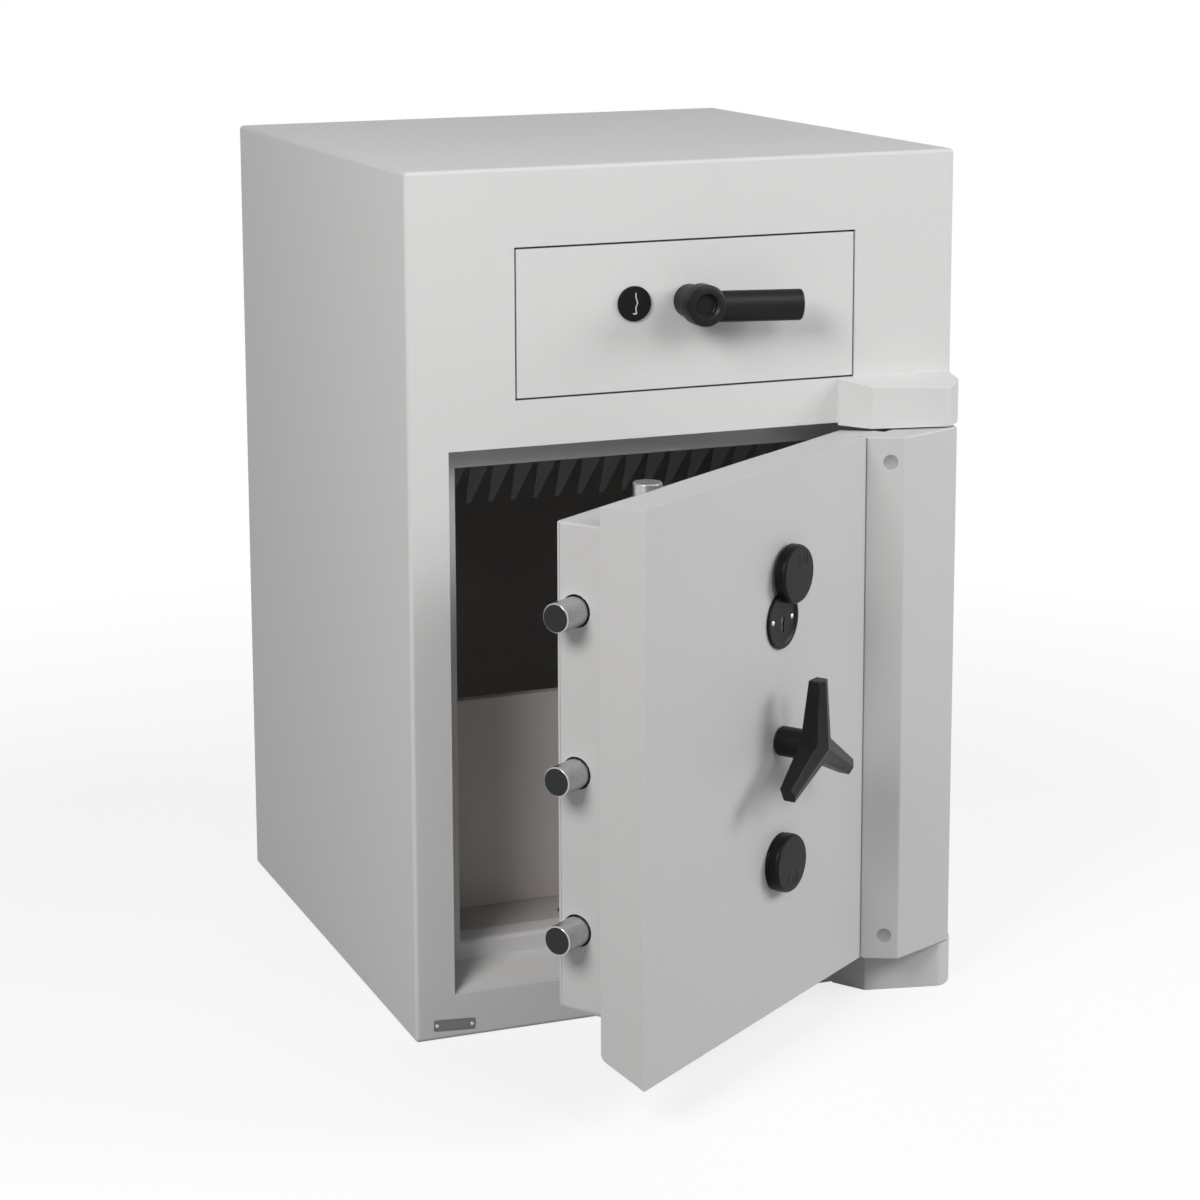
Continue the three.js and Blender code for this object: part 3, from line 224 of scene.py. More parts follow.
def drawn(name, points, fill=True):
    """A line drawn vertex by vertex, filled to a flat face if asked, and left in edit mode."""
    deselect()
    points = [place(*p) for p in points]
    bpy.ops.mesh.primitive_plane_add(size=MM, location=points[0])
    obj = settled(name)
    edit(obj, "VERT")
    bpy.ops.mesh.select_all(action="SELECT")
    bpy.ops.mesh.merge(type="CENTER")
    bpy.ops.mesh.select_all(action="SELECT")
    for a, b in zip(points, points[1:]):
        bpy.ops.mesh.extrude_region_move(TRANSFORM_OT_translate={"value": b - a})
    bpy.ops.mesh.select_all(action="SELECT")
    if fill:
        bpy.ops.mesh.edge_face_add()
    return obj


def prism(name, points, travel):
    """A drawn outline carried along a straight line, in millimetres."""
    obj = drawn(name, points)
    bpy.ops.mesh.extrude_region_move(TRANSFORM_OT_translate={"value": Vector(travel) * MM})
    face_out()
    return done(obj)


def turned(name, centre, profile, axis=Y, steps=48):
    """A lathe piece: its profile is pairs of radius and distance along the axis from the centre."""
    out = Z if axis != Z else X
    points = [Vector(centre) + out * r + axis * along for r, along in profile]
    obj = drawn(name, points, fill=False)
    bpy.ops.mesh.select_all(action="SELECT")
    bpy.ops.mesh.spin(steps=steps, angle=math.tau, center=place(*centre), axis=axis)
    bpy.ops.mesh.select_all(action="SELECT")
    bpy.ops.mesh.remove_doubles(threshold=0.00001)
    face_out()
    return done(obj)


def apply(obj, kind, **settings):
    deselect()
    bpy.context.view_layer.objects.active = obj
    obj.select_set(True)
    modifier = obj.modifiers.new(kind.title(), kind)
    for key, value in settings.items():
        setattr(modifier, key, value)
    bpy.ops.object.modifier_apply(modifier=modifier.name)
    return obj


def soften(obj, width, segments=3, angle=30):
    """Rounds every edge sharper than the angle. The width is in metres."""
    return apply(obj, "BEVEL", width=width, segments=segments, limit_method="ANGLE",
                 angle_limit=math.radians(angle), miter_outer="MITER_ARC")


def carve(obj, cutter):
    apply(obj, "BOOLEAN", operation="DIFFERENCE", object=cutter, solver="EXACT")
    bpy.data.objects.remove(cutter)
    return obj


def fuse(obj, *others):
    for other in others:
        apply(obj, "BOOLEAN", operation="UNION", object=other, solver="EXACT")
        bpy.data.objects.remove(other)
    return obj


def drill(obj, centre, radius, start, end, axis=Y, steps=32):
    """Bores a round hole from start to end along the axis."""
    return carve(obj, turned("bore", centre, [(0, start), (radius, start), (radius, end), (0, end)],
                             axis, steps))


def round_edges(obj, width, segments, test):
    """Rounds the edges that pass the test, given their two ends in millimetres."""
    edit(obj, "EDGE")
    pick(obj, test)
    bpy.ops.mesh.bevel(offset=width, segments=segments, affect="EDGES", clamp_overlap=True)
    return done(obj)


def copy_of(obj, name, move=(0, 0, 0)):
    deselect()
    obj.select_set(True)
    bpy.context.view_layer.objects.active = obj
    bpy.ops.object.duplicate()
    twin = bpy.context.object
    twin.location = Vector(move) * MM
    return settled(name)


def eased(name, node, width, segments=2, angle=30):
    """A merged copy of a CAD node with its sharp edges rounded, for a piece whose form is right."""
    deselect()
    obj = bpy.data.objects.new(name, frame["nodes"][node].data.copy())
    bpy.context.scene.collection.objects.link(obj)
    obj.data.name = name
    edit(obj, "VERT")
    bpy.ops.mesh.select_all(action="SELECT")
    bpy.ops.mesh.remove_doubles(threshold=0.00001)
    bpy.ops.mesh.dissolve_limited(angle_limit=math.radians(0.5))
    done(obj)
    return soften(obj, width, segments, angle)


def wedge_off(obj, height, rise, above):
    """Cuts off what lies above or below a plane that climbs from the front face to the back."""
    edit(obj)
    bpy.ops.mesh.select_all(action="SELECT")
    bpy.ops.mesh.bisect(
        plane_co=place(0, 0, height), plane_no=Vector((0, -rise, SLAB["back"])).normalized(),
        use_fill=True, clear_inner=not above, clear_outer=above)
    face_out()
    return done(obj)


def hang(obj):
    """Turns a piece drawn on the shut door to where the door stands."""
    return move_by(obj, DOOR)


def move_by(obj, matrix):
    deselect()
    obj.select_set(True)
    bpy.context.view_layer.objects.active = obj
    obj.matrix_world = matrix @ obj.matrix_world
    bpy.ops.object.transform_apply(location=True, rotation=True, scale=True)
    return obj


def fit(obj, body, slot, *nodes, angle=30):
    """Gives a finished piece its body and its finish, and hides the CAD nodes it stands for."""
    deselect()
    obj.select_set(True)
    bpy.context.view_layer.objects.active = obj
    bpy.ops.object.shade_smooth_by_angle(angle=math.radians(angle))
    apply(obj, "WEIGHTED_NORMAL", keep_sharp=True)
    obj.data.materials.clear()
    obj.data.materials.append(finish(slot))
    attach(obj, body)
    if nodes:
        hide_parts(*nodes)
    deselect()
    return obj


# Finishes

def group(name, inputs, outputs):
    """A shader node group with named inputs and outputs, and its two end nodes."""
    tree = bpy.data.node_groups.new(name, "ShaderNodeTree")
    for kind, label, value in inputs:
        socket = tree.interface.new_socket(label, in_out="INPUT", socket_type=kind)
        socket.default_value = value
    for kind, label in outputs:
        tree.interface.new_socket(label, in_out="OUTPUT", socket_type=kind)
    return tree, tree.nodes.new("NodeGroupInput"), tree.nodes.new("NodeGroupOutput")


def node(tree, kind, links=(), **settings):
    """A node with its settings, and its inputs fed by other nodes' outputs or set to values."""
    made = tree.nodes.new(kind)
    for key, value in settings.items():
        setattr(made, key, value)
    for socket, source in dict(links).items():
        if isinstance(source, bpy.types.NodeSocket):
            tree.links.new(source, made.inputs[socket])
        else:
            made.inputs[socket].default_value = source
    return made


FLOAT, COLOUR, VECTOR = "NodeSocketFloat", "NodeSocketColor", "NodeSocketVector"


def powder_coat_group():
    """Stippled powder coat: a fine grain in the height, and a faint drift in tone and gloss."""
    tree, start, end = group(
        "Powder coat",
        [(COLOUR, "Colour", (0.6, 0.6, 0.6, 1)), (FLOAT, "Grain", 900), (FLOAT, "Drift", 0.04),
         (FLOAT, "Roughness", 0.5)],
        [(COLOUR, "Colour"), (FLOAT, "Roughness"), (FLOAT, "Height")])
    where = node(tree, "ShaderNodeTexCoord").outputs["Object"]
    grain = node(tree, "ShaderNodeTexNoise",
                 {"Vector": where, "Scale": start.outputs["Grain"], "Detail": 2, "Roughness": 0.6})
    drift = node(tree, "ShaderNodeTexNoise", {"Vector": where, "Scale": 7, "Detail": 3})
    centred = node(tree, "ShaderNodeMath", {0: drift.outputs["Fac"], 1: 0.5}, operation="SUBTRACT")
    amount = node(tree, "ShaderNodeMath", {0: centred.outputs[0], 1: start.outputs["Drift"]},
                  operation="MULTIPLY")
    speck = node(tree, "ShaderNodeMath", {0: grain.outputs["Fac"], 1: 0.5}, operation="SUBTRACT")
    fleck = node(tree, "ShaderNodeMath", {0: speck.outputs[0], 1: 0.1}, operation="MULTIPLY")
    value = node(tree, "ShaderNodeMath", {0: amount.outputs[0], 1: fleck.outputs[0]}, operation="ADD")
    shade = node(tree, "ShaderNodeMath", {0: value.outputs[0], 1: 1.0}, operation="ADD")
    tinted = node(tree, "ShaderNodeHueSaturation",
                  {"Value": shade.outputs[0], "Color": start.outputs["Colour"]})
    gloss = node(tree, "ShaderNodeMath",
                 {0: centred.outputs[0], 1: 0.15, 2: start.outputs["Roughness"]},
                 operation="MULTIPLY_ADD")
    gloss = node(tree, "ShaderNodeMath", {0: speck.outputs[0], 1: 0.25, 2: gloss.outputs[0]},
                 operation="MULTIPLY_ADD")
    tree.links.new(tinted.outputs["Color"], end.inputs["Colour"])
    tree.links.new(gloss.outputs[0], end.inputs["Roughness"])
    tree.links.new(grain.outputs["Fac"], end.inputs["Height"])
    return tree


def edge_wear_group():
    """A mask of the edges, broken up so that it comes and goes: partly wear, partly a painted highlight along
    them.
    """
    tree, start, end = group(
        "Edge wear and highlight", [(FLOAT, "Radius", 0.001), (FLOAT, "Amount", 0.5)], [(FLOAT, "Mask")])
    bevel = node(tree, "ShaderNodeBevel", {"Radius": start.outputs["Radius"]}, samples=4)
    flat = node(tree, "ShaderNodeNewGeometry")
    match = node(tree, "ShaderNodeVectorMath",
                 {0: bevel.outputs[0], 1: flat.outputs["True Normal"]}, operation="DOT_PRODUCT")
    edge = node(tree, "ShaderNodeMapRange",
                {"Value": match.outputs["Value"], "From Min": 0.985, "From Max": 0.9,
                 "To Min": 0.0, "To Max": 1.0})
    where = node(tree, "ShaderNodeTexCoord").outputs["Object"]
    patch = node(tree, "ShaderNodeTexNoise", {"Vector": where, "Scale": 60, "Detail": 4})
    gaps = node(tree, "ShaderNodeMapRange",
                {"Value": patch.outputs["Fac"], "From Min": 0.45, "From Max": 0.65})
    edge_patches = node(tree, "ShaderNodeMath", {0: edge.outputs[0], 1: gaps.outputs[0]},
                  operation="MULTIPLY")
    mask = node(tree, "ShaderNodeMath", {0: edge_patches.outputs[0], 1: start.outputs["Amount"]},
                operation="MULTIPLY")
    tree.links.new(mask.outputs[0], end.inputs["Mask"])
    return tree


def fine_lines_group():
    """Fine parallel or round lines left by rolling or turning, stretched by the scale along each axis."""
    tree, start, end = group(
        "Fine lines",
        [(VECTOR, "Stretch", (900, 900, 20)), (COLOUR, "Colour", (0.6, 0.6, 0.6, 1)),
         (FLOAT, "Roughness", 0.3), (FLOAT, "Contrast", 0.15)],
        [(COLOUR, "Colour"), (FLOAT, "Roughness"), (FLOAT, "Height")])
    where = node(tree, "ShaderNodeTexCoord").outputs["Object"]
    drawn_out = node(tree, "ShaderNodeVectorMath", {0: where, 1: start.outputs["Stretch"]},
                     operation="MULTIPLY")
    lines = node(tree, "ShaderNodeTexNoise",
                 {"Vector": drawn_out.outputs["Vector"], "Scale": 1, "Detail": 4, "Roughness": 0.7})
    centred = node(tree, "ShaderNodeMath", {0: lines.outputs["Fac"], 1: 0.5}, operation="SUBTRACT")
    shade = node(tree, "ShaderNodeMath",
                 {0: centred.outputs[0], 1: start.outputs["Contrast"], 2: 1.0},
                 operation="MULTIPLY_ADD")
    tinted = node(tree, "ShaderNodeHueSaturation",
                  {"Value": shade.outputs[0], "Color": start.outputs["Colour"]})
    gloss = node(tree, "ShaderNodeMath",
                 {0: centred.outputs[0], 1: start.outputs["Contrast"],
                  2: start.outputs["Roughness"]}, operation="MULTIPLY_ADD")
    tree.links.new(tinted.outputs["Color"], end.inputs["Colour"])
    tree.links.new(gloss.outputs[0], end.inputs["Roughness"])
    tree.links.new(lines.outputs["Fac"], end.inputs["Height"])
    return tree


def spangle_group():
    """The faint crystal pattern of zinc plating: patches of slightly different tone and gloss."""
    tree, start, end = group(
        "Zinc spangle",
        [(COLOUR, "Colour", (0.5, 0.5, 0.5, 1)), (FLOAT, "Size", 90), (FLOAT, "Roughness", 0.4)],
        [(COLOUR, "Colour"), (FLOAT, "Roughness"), (FLOAT, "Height")])
    where = node(tree, "ShaderNodeTexCoord").outputs["Object"]
    cells = node(tree, "ShaderNodeTexVoronoi", {"Vector": where, "Scale": start.outputs["Size"]})
    cloud = node(tree, "ShaderNodeTexNoise", {"Vector": where, "Scale": 25, "Detail": 5})
    tone = node(tree, "ShaderNodeSeparateColor", {"Color": cells.outputs["Color"]})
    patch = node(tree, "ShaderNodeMath", {0: tone.outputs[0], 1: cloud.outputs["Fac"]},
                 operation="MULTIPLY")
    shade = node(tree, "ShaderNodeMath", {0: patch.outputs[0], 1: 0.22, 2: 0.93},
                 operation="MULTIPLY_ADD")
    tinted = node(tree, "ShaderNodeHueSaturation",
                  {"Value": shade.outputs[0], "Color": start.outputs["Colour"]})
    gloss = node(tree, "ShaderNodeMath", {0: patch.outputs[0], 1: 0.2, 2: start.outputs["Roughness"]},
                 operation="MULTIPLY_ADD")
    tree.links.new(tinted.outputs["Color"], end.inputs["Colour"])
    tree.links.new(gloss.outputs[0], end.inputs["Roughness"])
    tree.links.new(cloud.outputs["Fac"], end.inputs["Height"])
    return tree


GROUPS = {}
FINISHES = {}


def shader(name, metallic=0.0, specular=0.5):
    """A new material with one Principled shader, and the uniform values set on its own sockets."""
    material = bpy.data.materials.new(name)
    material.use_nodes = True
    principled = material.node_tree.nodes["Principled BSDF"]
    principled.inputs["Metallic"].default_value = metallic
    principled.inputs["Specular IOR Level"].default_value = specular
    return material, material.node_tree, principled


def surface(tree, principled, name, values, bump):
    """Places a finish group, feeds the shader from it and raises its height as a bump."""
    made = node(tree, "ShaderNodeGroup", node_tree=GROUPS[name])
    for key, value in values.items():
        made.inputs[key].default_value = value
    tree.links.new(made.outputs["Colour"], principled.inputs["Base Color"])
    tree.links.new(made.outputs["Roughness"], principled.inputs["Roughness"])
    raised = node(tree, "ShaderNodeBump",
                  {"Height": made.outputs["Height"], "Strength": bump, "Distance": 0.0002})
    tree.links.new(raised.outputs["Normal"], principled.inputs["Normal"])
    return made


def painted(name, colour, drift, roughness, wear, grain=900, bump=0.3, wear_and_highlight_tone=(0.42, 0.42, 0.42),
            specular=0.4):
    """Powder coat whose edges turn a little lighter or to the metal's grey: partly wear, partly a painted
    highlight along them.
    """
    material, tree, principled = shader(name, specular=specular)
    coat = surface(tree, principled, "Powder coat",
                   {"Colour": (*colour, 1), "Grain": grain, "Drift": drift, "Roughness": roughness},
                   bump)
    edges = node(tree, "ShaderNodeGroup", node_tree=GROUPS["Edge wear and highlight"])
    edges.inputs["Amount"].default_value = wear
    wear_and_highlight_mix = node(tree, "ShaderNodeMix", data_type="RGBA")
    tree.links.new(edges.outputs["Mask"], wear_and_highlight_mix.inputs["Factor"])
    tree.links.new(coat.outputs["Colour"], wear_and_highlight_mix.inputs[6])
    wear_and_highlight_mix.inputs[7].default_value = (*wear_and_highlight_tone, 1)
    tree.links.new(wear_and_highlight_mix.outputs[2], principled.inputs["Base Color"])
    return material


def lined(name, colour, stretch, roughness, contrast, bump=0.2):
    """Bare or chromed metal with fine lines in it."""
    material, tree, principled = shader(name, metallic=1.0)
    surface(tree, principled, "Fine lines",
            {"Colour": (*colour, 1), "Stretch": stretch, "Roughness": roughness,
             "Contrast": contrast}, bump)
    return material


def spangled(name, colour, roughness):
    material, tree, principled = shader(name, metallic=0.9)
    surface(tree, principled, "Zinc spangle",
            {"Colour": (*colour, 1), "Roughness": roughness}, 0.1)
    return material


def finish(slot):
    return FINISHES[slot]


class SAFE_OT_finishes(bpy.types.Operator):
    """Builds the finishes and gives every CAD node its own"""

    bl_idname = "safe.finishes"
    bl_label = "Finishes"

    def execute(self, context):
        colours = context.scene.safe_finishes
        GROUPS.update({
            "Powder coat": powder_coat_group(), "Edge wear and highlight": edge_wear_group(),
            "Fine lines": fine_lines_group(), "Zinc spangle": spangle_group()})
        # The light tone that the coats' edges take: partly wear, partly a painted highlight.
        pale = (0.74, 0.74, 0.74)
        FINISHES.update({
            "body_paint": painted("Body powder coat", colours.body, 0.035, 0.64, 0.35, wear_and_highlight_tone=pale,
                                  specular=0.16),
            # The door's coat is darker than the body's: painted shade.
            "door_paint": painted("Door powder coat with painted shade", colours.door, 0.035, 0.42, 0.35, wear_and_highlight_tone=pale,
                                  specular=0.4),
            # A lighter coat for the rounded front edges of the door slab: a painted highlight.
            "door_edge": painted("Door edge painted highlight", (0.68, 0.68, 0.675), 0.035, 0.4, 0.35, wear_and_highlight_tone=pale,
                                 specular=0.4),
            # The retaining panel's coat: warmer than the body's, and darker as painted shade.
            "liner_shaded_coat": painted("Liner coat with painted shade", (0.6, 0.556, 0.53), 0.035, 0.56, 0.35, wear_and_highlight_tone=pale,
                                  specular=0.3),
            # The lining's coat is darker than the body's: painted shade inside the vault.
            "interior_paint": painted("Interior coat with painted shade", colours.interior, 0.08, 0.65, 0.1, bump=0.2,
                                      wear_and_highlight_tone=pale),
            # The comb's coat is darker than the lining's: painted shade where it hangs in the vault.
            "comb_shaded_coat": painted("Comb coat with painted shade", (0.24, 0.24, 0.235), 0.08, 0.65, 0.1, bump=0.2,
                                 wear_and_highlight_tone=(0.4, 0.4, 0.4)),
            # The plugs' coat is much darker than the door's: a little of it the filler's own tone, the rest
            # painted shade in their dished faces.
            "plug_shaded_coat": painted("Plug coat with painted shade", (0.35, 0.35, 0.345), 0.035, 0.5, 0.0),
            # The black coats' edges turn a lighter grey: partly wear, partly a painted highlight.
            "black_casting": painted("Black coated casting", colours.casting, 0.3, 0.38, 0.6,
                                     grain=750, bump=0.7, wear_and_highlight_tone=(0.1, 0.1, 0.1), specular=0.2),
            "black_plastic": painted("Black moulding", colours.plastic, 0.2, 0.34, 0.25,
                                     grain=850, bump=0.6, wear_and_highlight_tone=(0.08, 0.08, 0.08), specular=0.14),
            "bolt_chrome": lined("Bolt chrome", colours.chrome, (60, 900, 900), 0.3, 0.25),
            # The bolts' end faces are near black: a painted reflection of a dark surround.
            "bolt_end_dark_reflection": lined("Bolt end dark reflection", (0.035, 0.036, 0.038), (700, 700, 700), 0.22, 0.4),
            "bolt_rim": lined("Bolt rim", (0.45, 0.45, 0.455), (700, 700, 700), 0.1, 0.2, 0.05),
            "bare_steel": lined("Turned steel", (0.56, 0.56, 0.57), (700, 700, 60), 0.32, 0.2),
            "bush_brass": lined("Turned brass", (0.72, 0.52, 0.24), (900, 900, 60), 0.3, 0.15),
            "plate_aluminium": lined("Anodised plate", (0.16, 0.158, 0.155), (40, 900, 1200), 0.5, 0.4),
            "plated_steel": spangled("Zinc plated sheet", colours.zinc, 0.34),
            "infill": painted("Barrier compound", (0.22, 0.21, 0.19), 0.5, 0.9, 0.0, grain=350,
                              bump=0.8),
        })
        for part in frame["record"]["subparts"]:
            data = frame["nodes"][part["node"]].data
            data.materials.clear()
            data.materials.append(finish(part["material_slot"]))
        return {"FINISHED"}


# Cabinet

class SAFE_OT_casing(bpy.types.Operator):
    """Cabinet casing: one sheet shell with rounded edges, a drawer opening and a door opening"""

    bl_idname = "safe.casing"
    bl_label = "Casing"

    def execute(self, context):
        edge = context.scene.safe_sizes.casing_edge
        low, high = frame_box("outer_casing")
        openings = [(109.5, 470.5, 635.5, 783.5), (41, 494, 45, 590)]
        shell = block("casing_shell", low, high)
        edit(shell)
        for x0, x1, z0, z1 in openings:
            for co, no in (((x0, 0, 0), X), ((x1, 0, 0), X), ((0, 0, z0), Z), ((0, 0, z1), Z)):
                bpy.ops.mesh.select_all(action="SELECT")
                bpy.ops.mesh.bisect(plane_co=place(*co), plane_no=no)
        pick(shell, lambda m, n: n.y < -0.5 and any(
            x0 < m.x < x1 and z0 < m.z < z1 for x0, x1, z0, z1 in openings))
        bpy.ops.mesh.delete(type="FACE")
        done(shell)
        apply(shell, "SOLIDIFY", thickness=LIP * MM, offset=-1, use_even_offset=True)

        def outside(a, b):
            """Edges along two of the box's outer planes."""
            shared = sum(
                abs(a[i] - side) < 0.01 and abs(b[i] - side) < 0.01
                for i in range(3) for side in (low[i], high[i]))
            return shared == 2

        round_edges(shell, edge, 4, outside)

        def rim(a, b):
            """Edges of the two openings on the front face."""
            if max(abs(a.y), abs(b.y)) > 0.01:
                return False
            on = lambda p, q, side: abs(p - side) < 0.01 and abs(q - side) < 0.01
            for x0, x1, z0, z1 in openings:
                along_z = any(on(a.x, b.x, x) for x in (x0, x1))
                along_x = any(on(a.z, b.z, z) for z in (z0, z1))
                inside_z = z0 - 0.01 <= min(a.z, b.z) and max(a.z, b.z) <= z1 + 0.01
                inside_x = x0 - 0.01 <= min(a.x, b.x) and max(a.x, b.x) <= x1 + 0.01
                if (along_z and inside_z) or (along_x and inside_x):
                    return True
            return False

        round_edges(shell, 0.0004, 2, rim)
        fit(shell, "cabinet", "body_paint", "outer_casing")
        return {"FINISHED"}


class SAFE_OT_vault(bpy.types.Operator):
    """Door frame, retaining panel and comb inside the cabinet"""

    bl_idname = "safe.vault"
    bl_label = "Vault"

    def execute(self, context):
        sheet = context.scene.safe_sizes.sheet_edge
        fit(eased("frame_of_door", "door_frame", 0.001, 3), "cabinet", "body_paint", "door_frame")
        panel = eased("panel_folded", "retaining_panel", sheet * 1.6, 3)
        fit(panel, "cabinet", "body_paint", "retaining_panel")
        # The panel takes a warmer, darker coat; the darkening is painted shade.
        panel.data.materials[0] = finish("liner_shaded_coat")
        comb = eased("comb_toothed", "anti_fishing_comb", sheet, 2)
        fit(comb, "cabinet", "interior_paint", "anti_fishing_comb")
        # The comb takes the darker coat: painted shade.
        comb.data.materials[0] = finish("comb_shaded_coat")
        fit(eased("housing_folded", "drawer_housing", sheet, 2), "cabinet", "plated_steel",
            "drawer_housing")
        fit(eased("chute_folded", "drop_chute", sheet, 2), "cabinet", "plated_steel",
            "drop_chute")
        for side in ("left", "right"):
            fit(eased("runner_channel_" + side, "drawer_runner_" + side, sheet, 2), "cabinet",
                "plated_steel", "drawer_runner_" + side)
        return {"FINISHED"}


class SAFE_OT_hinge_blocks(bpy.types.Operator):
    """The two hinge blocks on the front face, and the pins in them"""

    bl_idname = "safe.hinge_blocks"
    bl_label = "Hinge blocks"

    def execute(self, context):
        edge = context.scene.safe_sizes.hinge_edge
        for which, low, high in (("upper", 587.4, BLOCK_TOP), ("lower", 0, 46)):
            nose = [] if which == "upper" else [(566.3, -41.3)]
            plan = [(STEP_LEFT, 0), *CREST[:2], *nose, CREST[2], (577, 0)]
            piece = prism("block_of_hinge_" + which, [(x, y, low) for x, y in plan],
                          (0, 0, high - low))
            if which == "upper":
                wedge_off(piece, high, BLOCK_FALL * SLAB["back"] / -CREST[1][1], above=True)
            pin_face = low if which == "upper" else high
            upright = lambda a, b: abs(a.x - b.x) < 0.01 and abs(a.y - b.y) < 0.01
            round_edges(piece, edge * 0.25, 3,
                        lambda a, b: upright(a, b) and abs(a.x - CREST[0][0]) < 0.01)
            round_edges(piece, edge, 4,
                        lambda a, b: upright(a, b) and a.y < -0.01 and a.x > CREST[0][0] + 5)
            round_edges(piece, edge * 0.22, 3,
                        lambda a, b: not upright(a, b) and min(a.y, b.y) < -1
                        and max(abs(a.z - pin_face), abs(b.z - pin_face)) > 1)
            start, end = (low - 1, 619.3) if which == "upper" else (high - 30.3, high + 1)
            drill(piece, (HINGE_X, HINGE_Y, 0), PIN + SEAT, start, end, Z)
            fit(piece, "cabinet", "body_paint", "hinge_block_" + which)
            tip = 0.8
            z0, z1 = (559.7, 619) if which == "upper" else (16, 73.2)
            pin = turned("pin_of_hinge_" + which, (HINGE_X, HINGE_Y, 0),
                         [(0, z0), (PIN - tip, z0), (PIN, z0 + tip), (PIN, z1 - tip),
                          (PIN - tip, z1), (0, z1)], Z)
            fit(pin, "cabinet", "bare_steel", "hinge_pin_" + which)
        return {"FINISHED"}


class SAFE_OT_serial_plate(bpy.types.Operator):
    """Small blank plate with a raised border, held by two rivets"""

    bl_idname = "safe.serial_plate"
    bl_label = "Serial plate"

    def execute(self, context):
        low, high = frame_box("serial_plate")
        plate = block("plate_blank", low, high)
        round_edges(plate, 0.0014, 4, lambda a, b: abs(a.y - b.y) > 0.5)
        edit(plate)
        pick(plate, lambda m, n: n.y < -0.9)
        bpy.ops.mesh.inset(thickness=0.0007)
        bpy.ops.mesh.inset(thickness=0.0002, depth=-0.00022)
        done(plate)
        middle = (low.z + high.z) / 2
        for x in (low.x + 3.2, high.x - 3.2):
            drill(plate, (x, 0, middle), 1.6, -3, 1, steps=20)
        spot = Matrix.Translation(place((low.x + high.x) / 2, 0, middle))
        tilt = spot @ Matrix.Rotation(math.radians(PLATE_TILT), 4, "Y") @ spot.inverted()
        fit(move_by(plate, tilt), "cabinet", "plate_aluminium", "serial_plate")
        for side, x in (("left", low.x + 3.2), ("right", high.x - 3.2)):
            rivet = turned("rivet_dome_" + side, (x, 0, middle),
                           [(0, -1.4), (0.8, -1.32), (1.5, -1.1), (1.9, -0.8), (1.3, -0.8),
                            (1.3, 0), (0, 0)], steps=20)
            fit(move_by(rivet, tilt), "cabinet", "bare_steel", "serial_plate_rivet_" + side,
                angle=50)
        return {"FINISHED"}


# Door

def keyhole_cutter(z, start, end):
    hole = turned("bore", (FITTINGS_X, 0, z), [(0, start), (3.6, start), (3.6, end), (0, end)],
                  steps=24)
    slot = block("bore_slot", (FITTINGS_X - 2.2, start, z - 13), (FITTINGS_X + 2.2, end, z))
    return fuse(hole, slot)


class SAFE_OT_door_slab(bpy.types.Operator):
    """Door slab with rounded front edges, a stepped hinge edge and a bevel over the sill"""

    bl_idname = "safe.door_slab"
    bl_label = "Door slab"

    def execute(self, context):
        edge = context.scene.safe_sizes.door_edge
        s = SLAB
        plan = [(s["left"], 0), (STEP_LEFT, 0), (STEP_LEFT, STEP_DEPTH), (s["right"], STEP_DEPTH),
                (s["right"], s["back"]), (s["left"] + TAPER, s["back"])]
        slab = prism("slab_of_door", [(x, y, s["bottom"]) for x, y in plan],
                     (0, 0, s["top"] - s["bottom"]))
        wedge_off(slab, s["bottom"], SILL_BEVEL, above=False)
        wedge_off(slab, s["top"], -TAPER, above=True)
        behind = lambda a, b: min(a.y, b.y) > s["back"] - 0.01
        foot = lambda a, b: behind(a, b) and max(a.z, b.z) < s["bottom"] + SILL_BEVEL + 0.01
        round_edges(slab, 0.006, 4, foot)
        round_edges(slab, 0.001, 2, lambda a, b: behind(a, b) and abs(a.z - b.z) > 100)

        def front(a, b):
            """Edges round the front face, and those from it to the back across the free edge."""
            at_front = abs(a.y) < 0.01 and abs(b.y) < 0.01
            groove = at_front and abs(a.x - STEP_LEFT) < 0.01 and abs(b.x - STEP_LEFT) < 0.01
            across = max(a.x, b.x) < s["left"] + TAPER + 0.01 and abs(a.y - b.y) > 20
            return (at_front and not groove) or across

        round_edges(slab, edge, 4, front)
        carve(slab, block("bore", (95, 10, 105), (446, s["back"] + 1, 543)))
        drill(slab, (FITTINGS_X, 0, HANDLE_Z), 11.6, -1, 20, steps=40)
        for z in LOCKS_Z.values():
            carve(slab, keyhole_cutter(z, -1, 20))
            for x in (FITTINGS_X - SPREAD, FITTINGS_X + SPREAD):
                drill(slab, (x, 0, z), 2.3, -1, 9, steps=16)
        # Faces of the rounded front edges take the lighter edge coat: a painted highlight along them.
        rounded = [int(face.center.y < CORNER.y + edge and 0.05 < abs(face.normal.y) < 0.995)
                   for face in slab.data.polygons]
        fit(hang(slab), "door", "door_paint", "door_slab")
        slab.data.materials.append(finish("door_edge"))
        slab.data.polygons.foreach_set("material_index", rounded)
        return {"FINISHED"}


